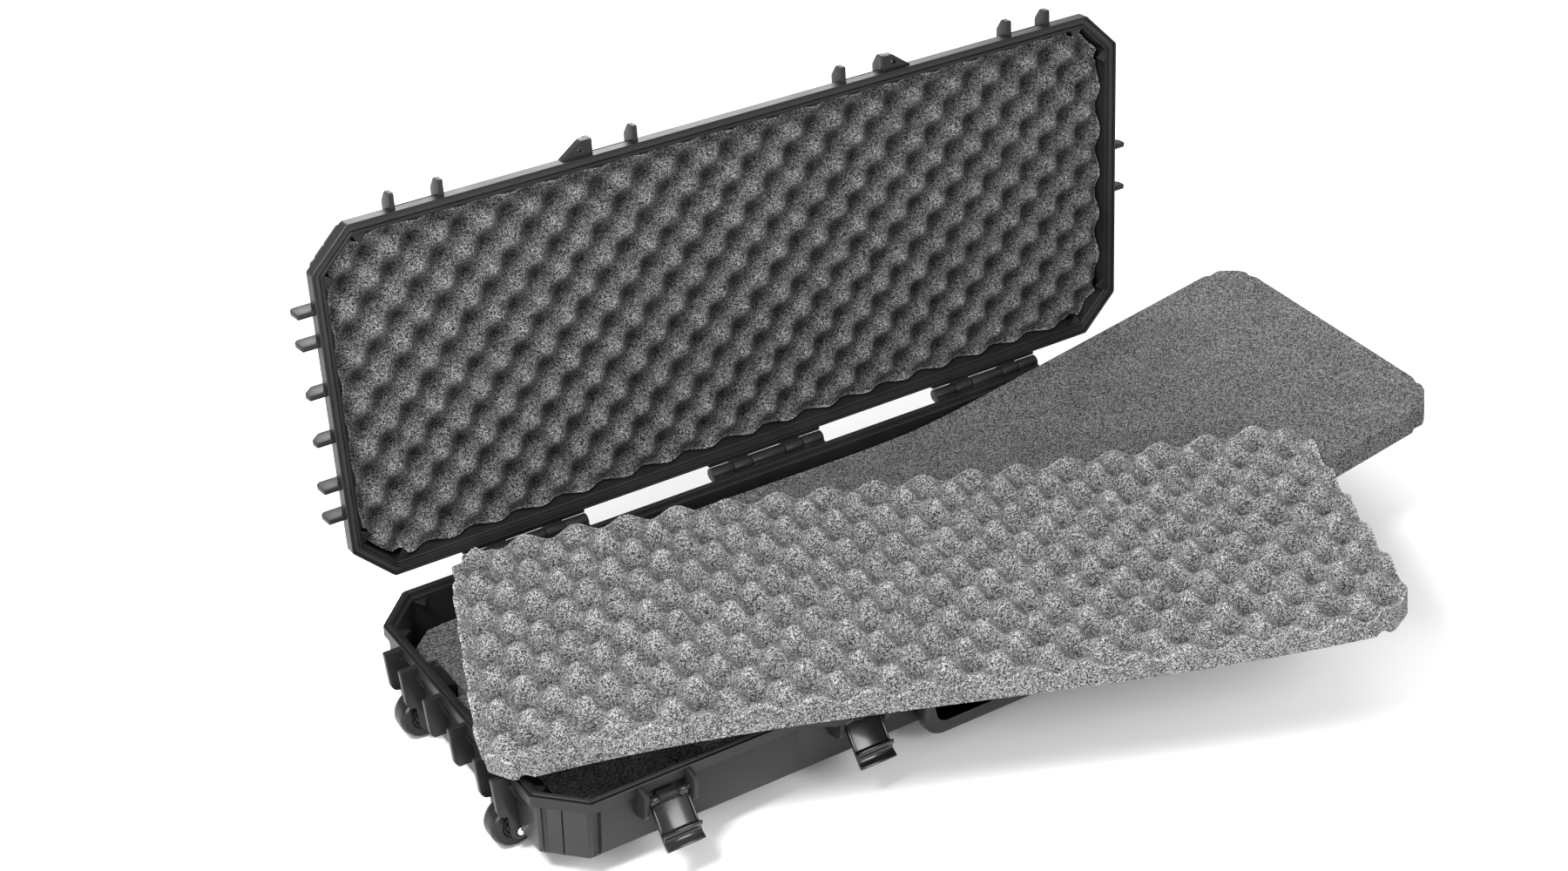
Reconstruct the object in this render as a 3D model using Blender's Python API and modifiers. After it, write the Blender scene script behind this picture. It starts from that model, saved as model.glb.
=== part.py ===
"""Long wheeled hard case, open, with its foam sheets lifted out and fanned.

Metres, +Z up.  X runs along the case (the wheels are at the -X end), the
latches are on the -Y side and the lid hinges are on the +Y side.  Every piece
is drawn about the middle of the closed case's rim, with z = 0 on the ground,
then moving pieces are turned about their own joint axes, and at the end the
whole case is moved so that the origin is the middle of its footprint.
"""
import math

import bmesh
import bpy
from mathutils import Matrix, Vector

# ---------------------------------------------------------------- rim, shells
RIM_LENGTH = 1.000          # over the flange, along X
RIM_WIDTH = 0.398           # over the flange, along Y
CORNER_CUT_X = 0.043        # cut-off corner, measured along X
CORNER_CUT_Y = 0.042        # cut-off corner, measured along Y
BASE_DEPTH = 0.074          # rim down to the underside of the base
LID_DEPTH = 0.042           # rim up to the top of the lid
SHELL_WALL = 0.0035
WALL_INSET = 0.005          # straight walls behind the flange face
POST_INSET = 0.0025         # corner walls behind the flange face
WALL_DRAFT = 0.002          # how far a wall leans in over its height
EDGE_ROUND = 0.004          # chamfer round the underside and the lid top
BASE_FLANGE_HEIGHT = 0.012
LID_FLANGE_HEIGHT = 0.014
RIM_LAND = 0.013            # flange face to the inner face of the tub
LEDGE_INSET = 0.0092        # where the lowered inner ledge of the base begins
LEDGE_DROP = 0.0025
LID_LAND = 0.0138           # flange face to the inner face of the lid
LID_WALL_INSET = 0.0103     # flange face to the lid's outer wall
LID_POST_INSET = 0.0092     # the same at the cut-off corners
LID_DRAFT = 0.0032          # lean of the lid's walls over their height
LID_EDGE_ROUND = 0.005      # chamfer round the lid's top
RIM_GAP = 0.0004            # between the closed rims
FIT_GAP = 0.0003            # between pieces that seat on each other
TONGUE_INSET = 0.0033
TONGUE_WIDTH = 0.0048
TONGUE_HEIGHT = 0.0018
CHANNEL_SIDE = 0.0009       # room beside the tongue in the lid's channel
SEAL_THICKNESS = 0.0018
SEAL_SIDE = 0.0004          # room beside the seal in the channel
GROOVE_WIDTH = 0.0028       # upright grooves on the base's corner walls
GROOVE_DEPTH = 0.0016

# ---------------------------------------------------------------- lid hinges
LID_OPEN_ANGLE = math.radians(95.9)
HINGE_SETBACK = 0.012       # axis behind the rim's back edge
KNUCKLE_RADIUS = 0.0075
HINGE_PIN_RADIUS = 0.0025
HINGE_CORNER_GAP = 0.152    # outer hinge group to the cut-off corner, along X
KNUCKLE_MIDDLE = 0.0430     # length of the middle base knuckle
KNUCKLE_LID = 0.0234        # length of each lid knuckle
KNUCKLE_END = 0.0270        # length of each outer base knuckle
KNUCKLE_GAP = 0.0009
HINGE_WEB = 0.0065          # height of the webs that carry the knuckles
HINGE_WEB_DROP = 0.0012     # webs start this far from the rim plane

# ---------------------------------------------------------------- fins, wheels
FIN_THICKNESS = 0.006
FIN_OUT = 0.020             # fins stand out this far from the rim's end
FIN_HEIGHT = 0.050
FIN_TAPER = 0.005
FIN_NEAR = 0.0265           # fin offsets from the middle, along Y
FIN_MIDDLE = 0.0805
FIN_FAR = 0.1155
LID_FIN_HEIGHT = 0.021
WHEEL_RADIUS = 0.0265
WHEEL_WIDTH = 0.024
HUB_RADIUS = 0.0145
AXLE_INBOARD = 0.008        # axle inside the rim's end, along X
AXLE_DROP = 0.0735          # axle below the rim plane
AXLE_RADIUS = 0.0030
AXLE_LOBE_RADIUS = 0.0105
WELL_CLEARANCE = 0.003      # round the wheel in its well
BOLT_HEAD_RADIUS = 0.0048
BOLT_HEAD_HEIGHT = 0.0035
BOLT_RECESS = 0.0060        # recess round the bolt head, along Y
BOLT_RECESS_RADIUS = 0.0070
NUT_RADIUS = 0.0052
NUT_HEIGHT = 0.0040
NUT_POCKET = 0.0085         # room for the nut, along Y
HUB_SIDE = 0.0008           # hub stands out past the tyre each side
RUNNING_GAP = 0.0003        # round pins, axles and hubs

# ---------------------------------------------------------------- latches
LATCH_NEAR = 0.156          # inner latch from the middle, along X
LATCH_CORNER_GAP = 0.079    # outer latch to the cut-off corner, along X
GUARD_SPACING = 0.0535      # between the two guards of a latch
GUARD_THICKNESS = 0.0056
GUARD_OUT = 0.0145          # base guards stand out from the flange face
GUARD_HEIGHT = 0.036
LUG_OUT = 0.0175            # lid lugs stand out from the flange face
LUG_START = 0.0045          # lid lugs start this far above the rim plane
LUG_HEIGHT = 0.0220
LATCH_WIDTH = 0.042
LATCH_PLATE = 0.0032
LATCH_PIN_DROP = 0.019
LATCH_PIN_OUT = 0.0055      # pin axis in front of the flange face
LATCH_PIN_RADIUS = 0.0018
LATCH_BARREL_RADIUS = 0.0042
LATCH_LENGTH = 0.052        # pin axis to the tip of the plate
LATCH_HOOK_BITE = 0.0030    # hook over the lid flange
LATCH_HOOK_THICKNESS = 0.0045
LATCH_OPEN_ANGLE = math.radians(138.7)
LATCH_BOSS_WIDTH = 0.020
EAR_LENGTH = 0.037          # padlock ears, along X
EAR_THICKNESS = 0.009
EAR_HOLE_RADIUS = 0.0034
EAR_HOLE_OUT = 0.0080       # hole centre in front of the flange face

# ---------------------------------------------------------------- handles
HANDLE_WIDTH = 0.162
HANDLE_DEPTH = 0.018        # along the swing
HANDLE_DROP = 0.024         # pivot below the rim plane
HANDLE_LENGTH = 0.058       # pivot to the far side of the grip
HANDLE_GRIP = 0.022
HANDLE_ARM = 0.018
HANDLE_CORNER = 0.024
HANDLE_PIN_RADIUS = 0.0022
HANDLE_EAR = 0.006
HANDLE_SIDE = 0.0006        # room between an arm and its ear
HANDLE_BACK = 0.0016        # room between a handle and the wall behind it
PULL_WIDTH = 0.124
PULL_DEPTH = 0.014
PULL_LENGTH = 0.052
PULL_GRIP = 0.018
PULL_ARM = 0.015
PULL_CORNER = 0.018
END_LUG_SPACING = 0.053

# ---------------------------------------------------------------- skids, tabs
SKID_LENGTH = 0.120
SKID_WIDTH = 0.016
SKID_END = 0.058            # from the rim's +X end
SKID_OFFSET = 0.110         # from the middle, along Y
TAB_REACH = 0.009
TAB_WIDTH = 0.014
TAB_THICKNESS = 0.002
TAB_DEPTH = 0.009           # tabs lie this far from the rim plane
TAB_ROOM = 0.0010           # room between a tab and the lid foam's notch

# ---------------------------------------------------------------- foam
EGG_STEP = 0.0264           # peak to the next pit, along X or Y
EGG_PEAK = 0.038            # sheet thickness at a peak
EGG_PIT = 0.014             # sheet thickness at a pit
LID_FOAM_SIDE = 0.0003      # room round the lid foam
FLOOR_FOAM = 0.0265         # thickness of the foam on the tub's floor
FLOOR_FOAM_SIDE = 0.0030
FLAT_END_ROOM = 0.0095      # the flat sheet is cut this much inside the tub's ends
FLAT_SIDE_ROOM = 0.0080     # and this much inside its sides
FLAT_THICKNESS = 0.030
FLAT_CORNER = 0.028
FLAT_OVERHANG = 0.145       # its right end reaches past the +X rim
FLAT_END_Y = -0.008
FLAT_END_RISE = 0.045       # underside of the right end above the rim plane
FLAT_RAMP_RUN = 0.317       # it starts to climb this far inside the +X rim
FLAT_RAMP_SOFT = 0.030
FLAT_TURN = math.radians(-0.7)
FLAT_STEPS = 28
TOP_LENGTH = 0.9240         # 35 steps of the egg-crate pattern
TOP_WIDTH = 0.3432          # 13 steps of the egg-crate pattern
TOP_CORNER = 0.028
TOP_REST_X = 0.0339         # middle of its left end, inside the rim's -X end
TOP_REST_Y = 0.0308
TOP_REST_RISE = 0.0321      # its straight underside there, above the rim plane
TOP_TILT = math.radians(0.62)
TOP_TURN = math.radians(-21.9)
TOP_DROOP_LEFT = 0.0298     # how far its left end bends down
TOP_DROOP_RIGHT = -0.0212   # its right end bends up

# ---------------------------------------------------------------- derived
HALF_L = RIM_LENGTH / 2
HALF_W = RIM_WIDTH / 2
AXLE_Z = WHEEL_RADIUS
RIM_Z = AXLE_Z + AXLE_DROP
BOTTOM_Z = RIM_Z - BASE_DEPTH
FLOOR_Z = BOTTOM_Z + SHELL_WALL
LID_Z = RIM_Z + RIM_GAP
HINGE = Vector((0.0, HALF_W + HINGE_SETBACK, RIM_Z))
AXLE_X = -HALF_L + AXLE_INBOARD
LATCH_Y = -HALF_W - LATCH_PIN_OUT
LATCH_Z = RIM_Z - LATCH_PIN_DROP
WELL_TOP = AXLE_Z + WHEEL_RADIUS + WELL_CLEARANCE
WELL_X = AXLE_X + WHEEL_RADIUS + WELL_CLEARANCE
WHEEL_Y = (FIN_MIDDLE + FIN_FAR) / 2
LATCH_FAR = HALF_L - CORNER_CUT_X - LATCH_CORNER_GAP
HINGE_SPACING = HALF_L - CORNER_CUT_X - HINGE_CORNER_GAP
FLAT_LENGTH = RIM_LENGTH - 2 * (RIM_LAND + FLAT_END_ROOM)
FLAT_WIDTH = RIM_WIDTH - 2 * (RIM_LAND + FLAT_SIDE_ROOM)
FLAT_END_X = HALF_L + FLAT_OVERHANG
FLAT_RAMP_START = HALF_L - FLAT_RAMP_RUN

LATCHES = (("1", -LATCH_FAR), ("2", -LATCH_NEAR), ("3", LATCH_NEAR),
           ("4", LATCH_FAR))
HINGES = (("left", -HINGE_SPACING), ("middle", 0.0), ("right", HINGE_SPACING))
WHEELS = (("front", -1.0), ("back", 1.0))

COLLECTIONS = {}


# ---------------------------------------------------------------- scene tools
def clear_scene():
    for thing in list(bpy.data.objects):
        bpy.data.objects.remove(thing, do_unlink=True)


def collection(name, hidden=False):
    if name not in COLLECTIONS:
        made = bpy.data.collections.new(name)
        bpy.context.scene.collection.children.link(made)
        made.hide_render = hidden
        COLLECTIONS[name] = made
    return COLLECTIONS[name]


def material(name, colour, roughness, metallic=0.0):
    made = bpy.data.materials.get(name) or bpy.data.materials.new(name)
    made.use_nodes = True
    shader = made.node_tree.nodes["Principled BSDF"]
    shader.inputs["Base Color"].default_value = (*colour, 1.0)
    shader.inputs["Roughness"].default_value = roughness
    shader.inputs["Metallic"].default_value = metallic
    made.diffuse_color = (*colour, 1.0)
    return made


def add_object(name, bm, group, mat=None, smooth=False):
    bmesh.ops.recalc_face_normals(bm, faces=bm.faces[:])
    if bm.calc_volume(signed=True) < 0.0:
        bmesh.ops.reverse_faces(bm, faces=bm.faces[:])
    mesh = bpy.data.meshes.new(name)
    bm.to_mesh(mesh)
    bm.free()
    made = bpy.data.objects.new(name, mesh)
    collection(group, hidden=group != "hard_case").objects.link(made)
    if mat is not None:
        mesh.materials.append(mat)
    if smooth:
        mesh.shade_smooth()
        mesh.set_sharp_from_angle(angle=math.radians(32))
    if group != "hard_case":
        made.hide_render = True
        made.display_type = 'WIRE'
    return made


def boolean(target, group, operation):
    """One Boolean of the target with every object of a tool collection."""
    made = target.modifiers.new(operation.lower(), 'BOOLEAN')
    made.operation = operation
    made.solver = 'EXACT'
    made.operand_type = 'COLLECTION'
    made.collection = collection(group, hidden=True)


def bevel(target, width, segments=1, angle=40.0):
    made = target.modifiers.new("bevel", 'BEVEL')
    made.width = width
    made.segments = segments
    made.limit_method = 'ANGLE'
    made.angle_limit = math.radians(angle)


def hang_on(pivot_name, pivot, turn, things):
    """Parents things, drawn in world places, to an empty on a joint axis."""
    empty = bpy.data.objects.new(pivot_name, None)
    collection("hard_case").objects.link(empty)
    empty.empty_display_size = 0.02
    empty.location = pivot
    empty.rotation_euler = turn
    for thing in things:
        thing.data.transform(Matrix.Translation(-Vector(pivot)))
        thing.parent = empty
    return empty


def own_origin(thing, pivot):
    """Moves an object's origin to a point on its axis."""
    thing.data.transform(Matrix.Translation(-Vector(pivot)))
    thing.location = pivot
    return thing


# ---------------------------------------------------------------- outlines
def octagon(inset, corner_inset=None, length=RIM_LENGTH, width=RIM_WIDTH,
            cut_x=CORNER_CUT_X, cut_y=CORNER_CUT_Y):
    """Corner points of the rim outline moved in by a distance."""
    if corner_inset is None:
        corner_inset = inset
    a = length / 2
    b = width / 2
    h = math.hypot(cut_x, cut_y)
    reach = (cut_y * a + cut_x * (b - cut_y)) / h - corner_inset
    a -= inset
    b -= inset
    y1 = (h * reach - cut_y * a) / cut_x
    x1 = (h * reach - cut_x * b) / cut_y
    quarter = [(a, y1), (x1, b)]
    return (quarter + [(-x, y) for x, y in reversed(quarter)]
            + [(-x, -y) for x, y in quarter]
            + [(x, -y) for x, y in reversed(quarter)])


def stack(levels):
    """Solid lofted through alike outlines, each at its own height."""
    bm = bmesh.new()
    rings = [[bm.verts.new((x, y, z)) for x, y in points] for z, points in levels]
    bm.faces.new(rings[0])
    bm.faces.new(rings[-1])
    for upper, lower in zip(rings, rings[1:]):
        count = len(upper)
        for i in range(count):
            j = (i + 1) % count
            bm.faces.new((upper[i], upper[j], lower[j], lower[i]))
    return bm


def ring(outer, inner, z0, z1):
    """Flat band between two outlines with as many corners."""
    bm = bmesh.new()
    first = [bm.verts.new((x, y, z0)) for x, y in outer]
    second = [bm.verts.new((x, y, z0)) for x, y in inner]
    count = len(first)
    faces = []
    for i in range(count):
        j = (i + 1) % count
        faces.append(bm.faces.new((first[i], first[j], second[j], second[i])))
    made = bmesh.ops.extrude_face_region(bm, geom=faces)
    verts = [v for v in made["geom"] if isinstance(v, bmesh.types.BMVert)]
    bmesh.ops.translate(bm, verts=verts, vec=(0.0, 0.0, z1 - z0))
    return bm


def slab(points, low, high, axis):
    """A flat outline of (a, b) points, thick along one axis.

    axis X takes (y, z) points, Y takes (x, z) points, Z takes (x, y) points.
    """
    place = {"X": lambda a, b, c: (c, a, b), "Y": lambda a, b, c: (a, c, b),
             "Z": lambda a, b, c: (a, b, c)}[axis]
    step = Vector(place(0.0, 0.0, high - low))
    bm = bmesh.new()
    face = bm.faces.new([bm.verts.new(place(a, b, low)) for a, b in points])
    made = bmesh.ops.extrude_face_region(bm, geom=[face])
    verts = [v for v in made["geom"] if isinstance(v, bmesh.types.BMVert)]
    bmesh.ops.translate(bm, verts=verts, vec=step)
    return bm


def box(x0, x1, y0, y1, z0, z1):
    bm = bmesh.new()
    bmesh.ops.create_cube(bm, size=1.0)
    bmesh.ops.scale(bm, vec=(x1 - x0, y1 - y0, z1 - z0), verts=bm.verts[:])
    middle = ((x0 + x1) / 2, (y0 + y1) / 2, (z0 + z1) / 2)
    bmesh.ops.translate(bm, vec=middle, verts=bm.verts[:])
    return bm


def rod(axis, centre, radius, length, sides=24, end_radius=None):
    """Closed cylinder or cone frustum centred on a point, along an axis."""
    bm = bmesh.new()
    if end_radius is None:
        end_radius = radius
    bmesh.ops.create_cone(bm, cap_ends=True, segments=sides, radius1=radius,
                          radius2=end_radius, depth=length)
    turn = {"X": Matrix.Rotation(math.pi / 2, 4, 'Y'),
            "Y": Matrix.Rotation(math.pi / 2, 4, 'X'),
            "Z": Matrix.Identity(4)}[axis]
    bm.transform(Matrix.Translation(centre) @ turn)
    return bm


def arc(cx, cy, radius, start, stop, steps):
    """Points on an arc, angles in degrees."""
    return [(cx + radius * math.cos(math.radians(start + (stop - start) * i / steps)),
             cy + radius * math.sin(math.radians(start + (stop - start) * i / steps)))
            for i in range(steps + 1)]


# ---------------------------------------------------------------- shared forms
def knuckle_profile(side):
    """Round knuckle with its web to the flange, as (y, z) points.

    side is -1 for the base's web below the rim plane, 1 for the lid's above.
    """
    y, z = HINGE.y, HINGE.z
    plane = LID_Z if side > 0 else RIM_Z
    z0 = plane + side * HINGE_WEB_DROP
    z1 = plane + side * (HINGE_WEB_DROP + HINGE_WEB)
    wall = HALF_W - WALL_INSET / 2
    start = 180 - side * math.degrees(math.asin(abs(z0 - z) / KNUCKLE_RADIUS))
    stop = 180 + side * 270
    points = arc(y, z, KNUCKLE_RADIUS, start, stop, 18)
    return [(wall, z0)] + points + [(wall, z1 + side * 0.002)]


def hinge_spans():
    """Start and end along X of the knuckles of one group, about its middle."""
    a = KNUCKLE_MIDDLE / 2
    b = a + KNUCKLE_GAP
    c = b + KNUCKLE_LID
    d = c + KNUCKLE_GAP
    e = d + KNUCKLE_END
    return [(-e, -d), (-a, a), (d, e)], [(-c, -b), (b, c)]


def padlock_ear(x_guard, side, z0, z1):
    """Ear that slopes away from its latch, with straight sides, along Z."""
    face = -HALF_W + 0.001
    x0 = x_guard - side * GUARD_THICKNESS / 2
    x1 = x0 + side * EAR_LENGTH
    top = x0 + side * (EAR_LENGTH * 0.34)
    points = [(x0, face), (x0, -HALF_W - LUG_OUT), (top, -HALF_W - LUG_OUT),
              (x1, -HALF_W), (x1, face)]
    return slab(points, z0, z1, "Z")


def ear_hole_x(x_guard, side):
    return x_guard + side * (EAR_LENGTH * 0.40 - GUARD_THICKNESS / 2)


def tab_outlines(inset, room=0.0):
    """The eight pointed tabs beside the cut-off corners, each as (x, y) points."""
    corner = octagon(inset)
    half = TAB_WIDTH / 2 + room
    reach = TAB_REACH + room
    out = 0.0015
    outlines = []
    for sx in (-1, 1):
        for sy in (-1, 1):
            x = sx * (abs(corner[1][0]) - TAB_WIDTH / 2)
            y = sy * (HALF_W - inset)
            outlines.append([(x - half, y + sy * out), (x + half, y + sy * out),
                             (x, y - sy * reach)])
            x = sx * (HALF_L - inset)
            y = sy * (abs(corner[0][1]) - TAB_WIDTH / 2)
            outlines.append([(x + sx * out, y - half), (x + sx * out, y + half),
                             (x - sx * reach, y)])
    return outlines


def retaining_tabs(group, z, inset):
    """Small pointed tabs on the inner walls beside each cut-off corner."""
    for number, points in enumerate(tab_outlines(inset)):
        add_object(f"{group}_tab_{number}", slab(
            points, z - TAB_THICKNESS / 2, z + TAB_THICKNESS / 2, "Z"), group)


# ---------------------------------------------------------------- base shell
def base_fin_profile(carries_axle):
    """Upright fin at the wheel end, as (x, z) points."""
    root = -HALF_L + WALL_INSET + SHELL_WALL * 0.6
    out = -HALF_L - FIN_OUT
    low = RIM_Z - FIN_HEIGHT
    points = [(root, RIM_Z - 0.0004), (out, RIM_Z - 0.0004),
              (out + FIN_TAPER * 0.85, low + 0.005), (out + FIN_TAPER + 0.003, low)]
    if carries_axle:
        neck = AXLE_X - AXLE_LOBE_RADIUS - 0.002
        points.append((neck, low - 0.001))
        points += arc(AXLE_X, AXLE_Z, AXLE_LOBE_RADIUS, 172, 280, 8)
        points.append((WELL_X + SHELL_WALL * 0.5, AXLE_Z - AXLE_LOBE_RADIUS + 0.0015))
        points.append((WELL_X + SHELL_WALL * 0.5, WELL_TOP + SHELL_WALL * 0.5))
        points.append((root, WELL_TOP + SHELL_WALL * 0.5))
    else:
        points.append((root, low))
    return points


def latch_guard_profile():
    """Guard beside a latch, as (y, z) points."""
    face = -HALF_W + 0.001
    out = -HALF_W - GUARD_OUT
    return [(face, RIM_Z - 0.0006), (-HALF_W - 0.001, RIM_Z - 0.0006),
            (out, RIM_Z - 0.0040), (out, RIM_Z - GUARD_HEIGHT + 0.004),
            (out + 0.004, RIM_Z - GUARD_HEIGHT),
            (-HALF_W + WALL_INSET + 0.0025, RIM_Z - GUARD_HEIGHT - 0.006),
            (-HALF_W + WALL_INSET + 0.0025, RIM_Z - BASE_FLANGE_HEIGHT - 0.002),
            (face, RIM_Z - BASE_FLANGE_HEIGHT + 0.001)]


def handle_ear_profile(drop, depth, reach):
    """Ear that carries a handle's pin, as (distance out, z) points."""
    wall = -WALL_INSET - 0.0022
    z = RIM_Z - drop
    r = depth / 2 + 0.001
    points = [(wall, z + r + 0.001)]
    points += arc(reach, z, r, 90, -90, 8)
    points.append((wall, z - r - 0.006))
    return points


def build_base_shell(plastic):
    low = BOTTOM_Z
    under = RIM_Z - BASE_FLANGE_HEIGHT
    shell = add_object("base_shell", stack([
        (RIM_Z + TONGUE_HEIGHT, octagon(TONGUE_INSET)),
        (RIM_Z, octagon(TONGUE_INSET)),
        (RIM_Z, octagon(0.0)),
        (under, octagon(0.0)),
        (under, octagon(WALL_INSET, POST_INSET)),
        (low + EDGE_ROUND, octagon(WALL_INSET + WALL_DRAFT, POST_INSET + WALL_DRAFT)),
        (low, octagon(WALL_INSET + WALL_DRAFT + EDGE_ROUND,
                      POST_INSET + WALL_DRAFT + EDGE_ROUND))]),
        "hard_case", plastic)
    adds = "base_added"
    cuts = "base_cut"
    cavity = stack([
        (RIM_Z + 0.004, octagon(TONGUE_INSET + TONGUE_WIDTH)),
        (RIM_Z, octagon(TONGUE_INSET + TONGUE_WIDTH)),
        (RIM_Z, octagon(LEDGE_INSET)),
        (RIM_Z - LEDGE_DROP, octagon(LEDGE_INSET)),
        (RIM_Z - LEDGE_DROP, octagon(RIM_LAND)),
        (FLOOR_Z, octagon(RIM_LAND + WALL_DRAFT))])
    add_object("base_cavity", cavity, "base_hollow")
    boolean(shell, "base_hollow", 'DIFFERENCE')

    # fins at the wheel end
    for side in (-1, 1):
        for name, y, axle in (("near", FIN_NEAR, False),
                              ("middle", FIN_MIDDLE, True), ("far", FIN_FAR, True)):
            middle = side * y
            add_object(f"base_fin_{name}_{side}", slab(
                base_fin_profile(axle), middle - FIN_THICKNESS / 2,
                middle + FIN_THICKNESS / 2, "Y"), adds)
        # housing of the wheel well, inside the tub
        y0 = side * WHEEL_Y - (FIN_FAR - FIN_MIDDLE) / 2
        y1 = side * WHEEL_Y + (FIN_FAR - FIN_MIDDLE) / 2
        add_object(f"well_{side}", box(
            -HALF_L + WALL_INSET + WALL_DRAFT + 0.001, WELL_X + SHELL_WALL, y0, y1,
            BOTTOM_Z + 0.0012, WELL_TOP + SHELL_WALL), adds)
        inner = (FIN_FAR - FIN_MIDDLE - FIN_THICKNESS) / 2 - 0.0002
        add_object(f"well_cut_{side}", box(
            -HALF_L - FIN_OUT, WELL_X, side * WHEEL_Y - inner,
            side * WHEEL_Y + inner, -0.01, WELL_TOP), cuts)
        add_object(f"axle_hole_{side}", rod(
            "Y", (AXLE_X, side * WHEEL_Y, AXLE_Z), AXLE_RADIUS + RUNNING_GAP,
            FIN_FAR - FIN_MIDDLE + FIN_THICKNESS + 0.01, 20), cuts)
        # recess for the bolt head, beside the outer fin
        fin = side * (FIN_FAR + FIN_THICKNESS / 2)
        far = fin + side * BOLT_RECESS
        reach = BOLT_RECESS_RADIUS + SHELL_WALL * 0.7
        add_object(f"bolt_housing_{side}", box(
            -HALF_L + WALL_INSET + WALL_DRAFT + 0.001, AXLE_X + reach,
            min(fin, far + side * SHELL_WALL) - 0.001,
            max(fin, far + side * SHELL_WALL) + 0.001,
            BOTTOM_Z + 0.0012, AXLE_Z + reach), adds)
        add_object(f"bolt_recess_{side}", rod(
            "Y", (AXLE_X, (fin + far) / 2, AXLE_Z), BOLT_RECESS_RADIUS,
            BOLT_RECESS, 32), cuts)
        # pocket for the nut, beside the inner fin
        fin = side * (FIN_MIDDLE - FIN_THICKNESS / 2)
        far = fin - side * NUT_POCKET
        x1 = AXLE_X + NUT_RADIUS + WELL_CLEARANCE / 2
        z1 = AXLE_Z + NUT_RADIUS + WELL_CLEARANCE / 2
        wall = far - side * SHELL_WALL
        edge = fin + side * FIN_THICKNESS / 2
        add_object(f"nut_housing_{side}", box(
            -HALF_L + WALL_INSET + WALL_DRAFT + 0.001, x1 + SHELL_WALL,
            min(wall, edge), max(wall, edge), BOTTOM_Z + 0.0012, z1 + SHELL_WALL),
            adds)
        add_object(f"nut_pocket_{side}", box(
            -HALF_L - FIN_OUT, x1, min(far, fin), max(far, fin), -0.01, z1), cuts)
    # latch guards, bosses and pin holes
    for name, x in LATCHES:
        for side in (-1, 1):
            middle = x + side * GUARD_SPACING / 2
            add_object(f"guard_{name}_{side}", slab(
                latch_guard_profile(), middle - GUARD_THICKNESS / 2,
                middle + GUARD_THICKNESS / 2, "X"), adds)
        boss = [(-HALF_W + WALL_INSET + 0.0022, LATCH_Z + 0.0030)]
        boss += arc(LATCH_Y, LATCH_Z, LATCH_BARREL_RADIUS, 60, 300, 10)
        boss.append((-HALF_W + WALL_INSET + 0.0022, LATCH_Z - 0.0060))
        add_object(f"boss_{name}", slab(
            boss, x - LATCH_BOSS_WIDTH / 2, x + LATCH_BOSS_WIDTH / 2, "X"), adds)
        add_object(f"latch_hole_{name}", rod(
            "X", (x, LATCH_Y, LATCH_Z), LATCH_PIN_RADIUS + RUNNING_GAP,
            GUARD_SPACING + GUARD_THICKNESS + 0.004, 16), cuts)
    # padlock ears of the two middle latches
    for x, side in ((-LATCH_NEAR, -1), (LATCH_NEAR, 1)):
        guard = x + side * GUARD_SPACING / 2
        add_object(f"base_ear_{side}", padlock_ear(
            guard, side, RIM_Z - BASE_FLANGE_HEIGHT + 0.0012,
            RIM_Z - BASE_FLANGE_HEIGHT + 0.0012 + EAR_THICKNESS), adds)
        add_object(f"base_ear_hole_{side}", rod(
            "Z", (ear_hole_x(guard, side), -HALF_W - EAR_HOLE_OUT, RIM_Z),
            EAR_HOLE_RADIUS, 0.05, 16), cuts)
    # hinge knuckles
    for name, x in HINGES:
        for i, (x0, x1) in enumerate(hinge_spans()[0]):
            add_object(f"base_knuckle_{name}_{i}", slab(
                knuckle_profile(-1), x + x0, x + x1, "X"), adds)
        add_object(f"hinge_hole_{name}", rod(
            "X", (x, HINGE.y, HINGE.z), HINGE_PIN_RADIUS + RUNNING_GAP, 0.17, 18),
            cuts)
    # ears of the carry handle, on the front wall
    reach = pivot_reach(HANDLE_DEPTH)
    for side in (-1, 1):
        middle = side * (HANDLE_WIDTH / 2 + HANDLE_SIDE + HANDLE_EAR / 2)
        profile = [(-HALF_W - a, z) for a, z in handle_ear_profile(
            HANDLE_DROP, HANDLE_DEPTH, reach)]
        add_object(f"handle_ear_{side}", slab(
            profile, middle - HANDLE_EAR / 2, middle + HANDLE_EAR / 2, "X"), adds)
        add_object(f"handle_hole_{side}", rod(
            "X", (middle, -HALF_W - reach, RIM_Z - HANDLE_DROP),
            HANDLE_PIN_RADIUS + RUNNING_GAP, HANDLE_EAR + 0.004, 16), cuts)
    # ears of the pull handle, on the +X end
    reach = pivot_reach(PULL_DEPTH)
    for side in (-1, 1):
        middle = side * (PULL_WIDTH / 2 + HANDLE_SIDE + HANDLE_EAR / 2)
        profile = [(HALF_L + a, z) for a, z in handle_ear_profile(
            HANDLE_DROP, PULL_DEPTH, reach)]
        add_object(f"pull_ear_{side}", slab(
            profile, middle - HANDLE_EAR / 2, middle + HANDLE_EAR / 2, "Y"), adds)
        add_object(f"pull_hole_{side}", rod(
            "Y", (HALF_L + reach, middle, RIM_Z - HANDLE_DROP),
            HANDLE_PIN_RADIUS + RUNNING_GAP, HANDLE_EAR + 0.004, 16), cuts)
        # skids that level the case with its wheels
        x1 = HALF_L - SKID_END
        x0 = x1 - SKID_LENGTH
        y = side * SKID_OFFSET
        skid = [(x0, BOTTOM_Z + 0.0015), (x0 + 0.010, 0.0), (x1 - 0.010, 0.0),
                (x1, BOTTOM_Z + 0.0015)]
        add_object(f"skid_{side}", slab(
            skid, y - SKID_WIDTH / 2, y + SKID_WIDTH / 2, "Y"), adds)
    retaining_tabs(adds, RIM_Z - TAB_DEPTH, RIM_LAND)
    boolean(shell, adds, 'UNION')

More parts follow.
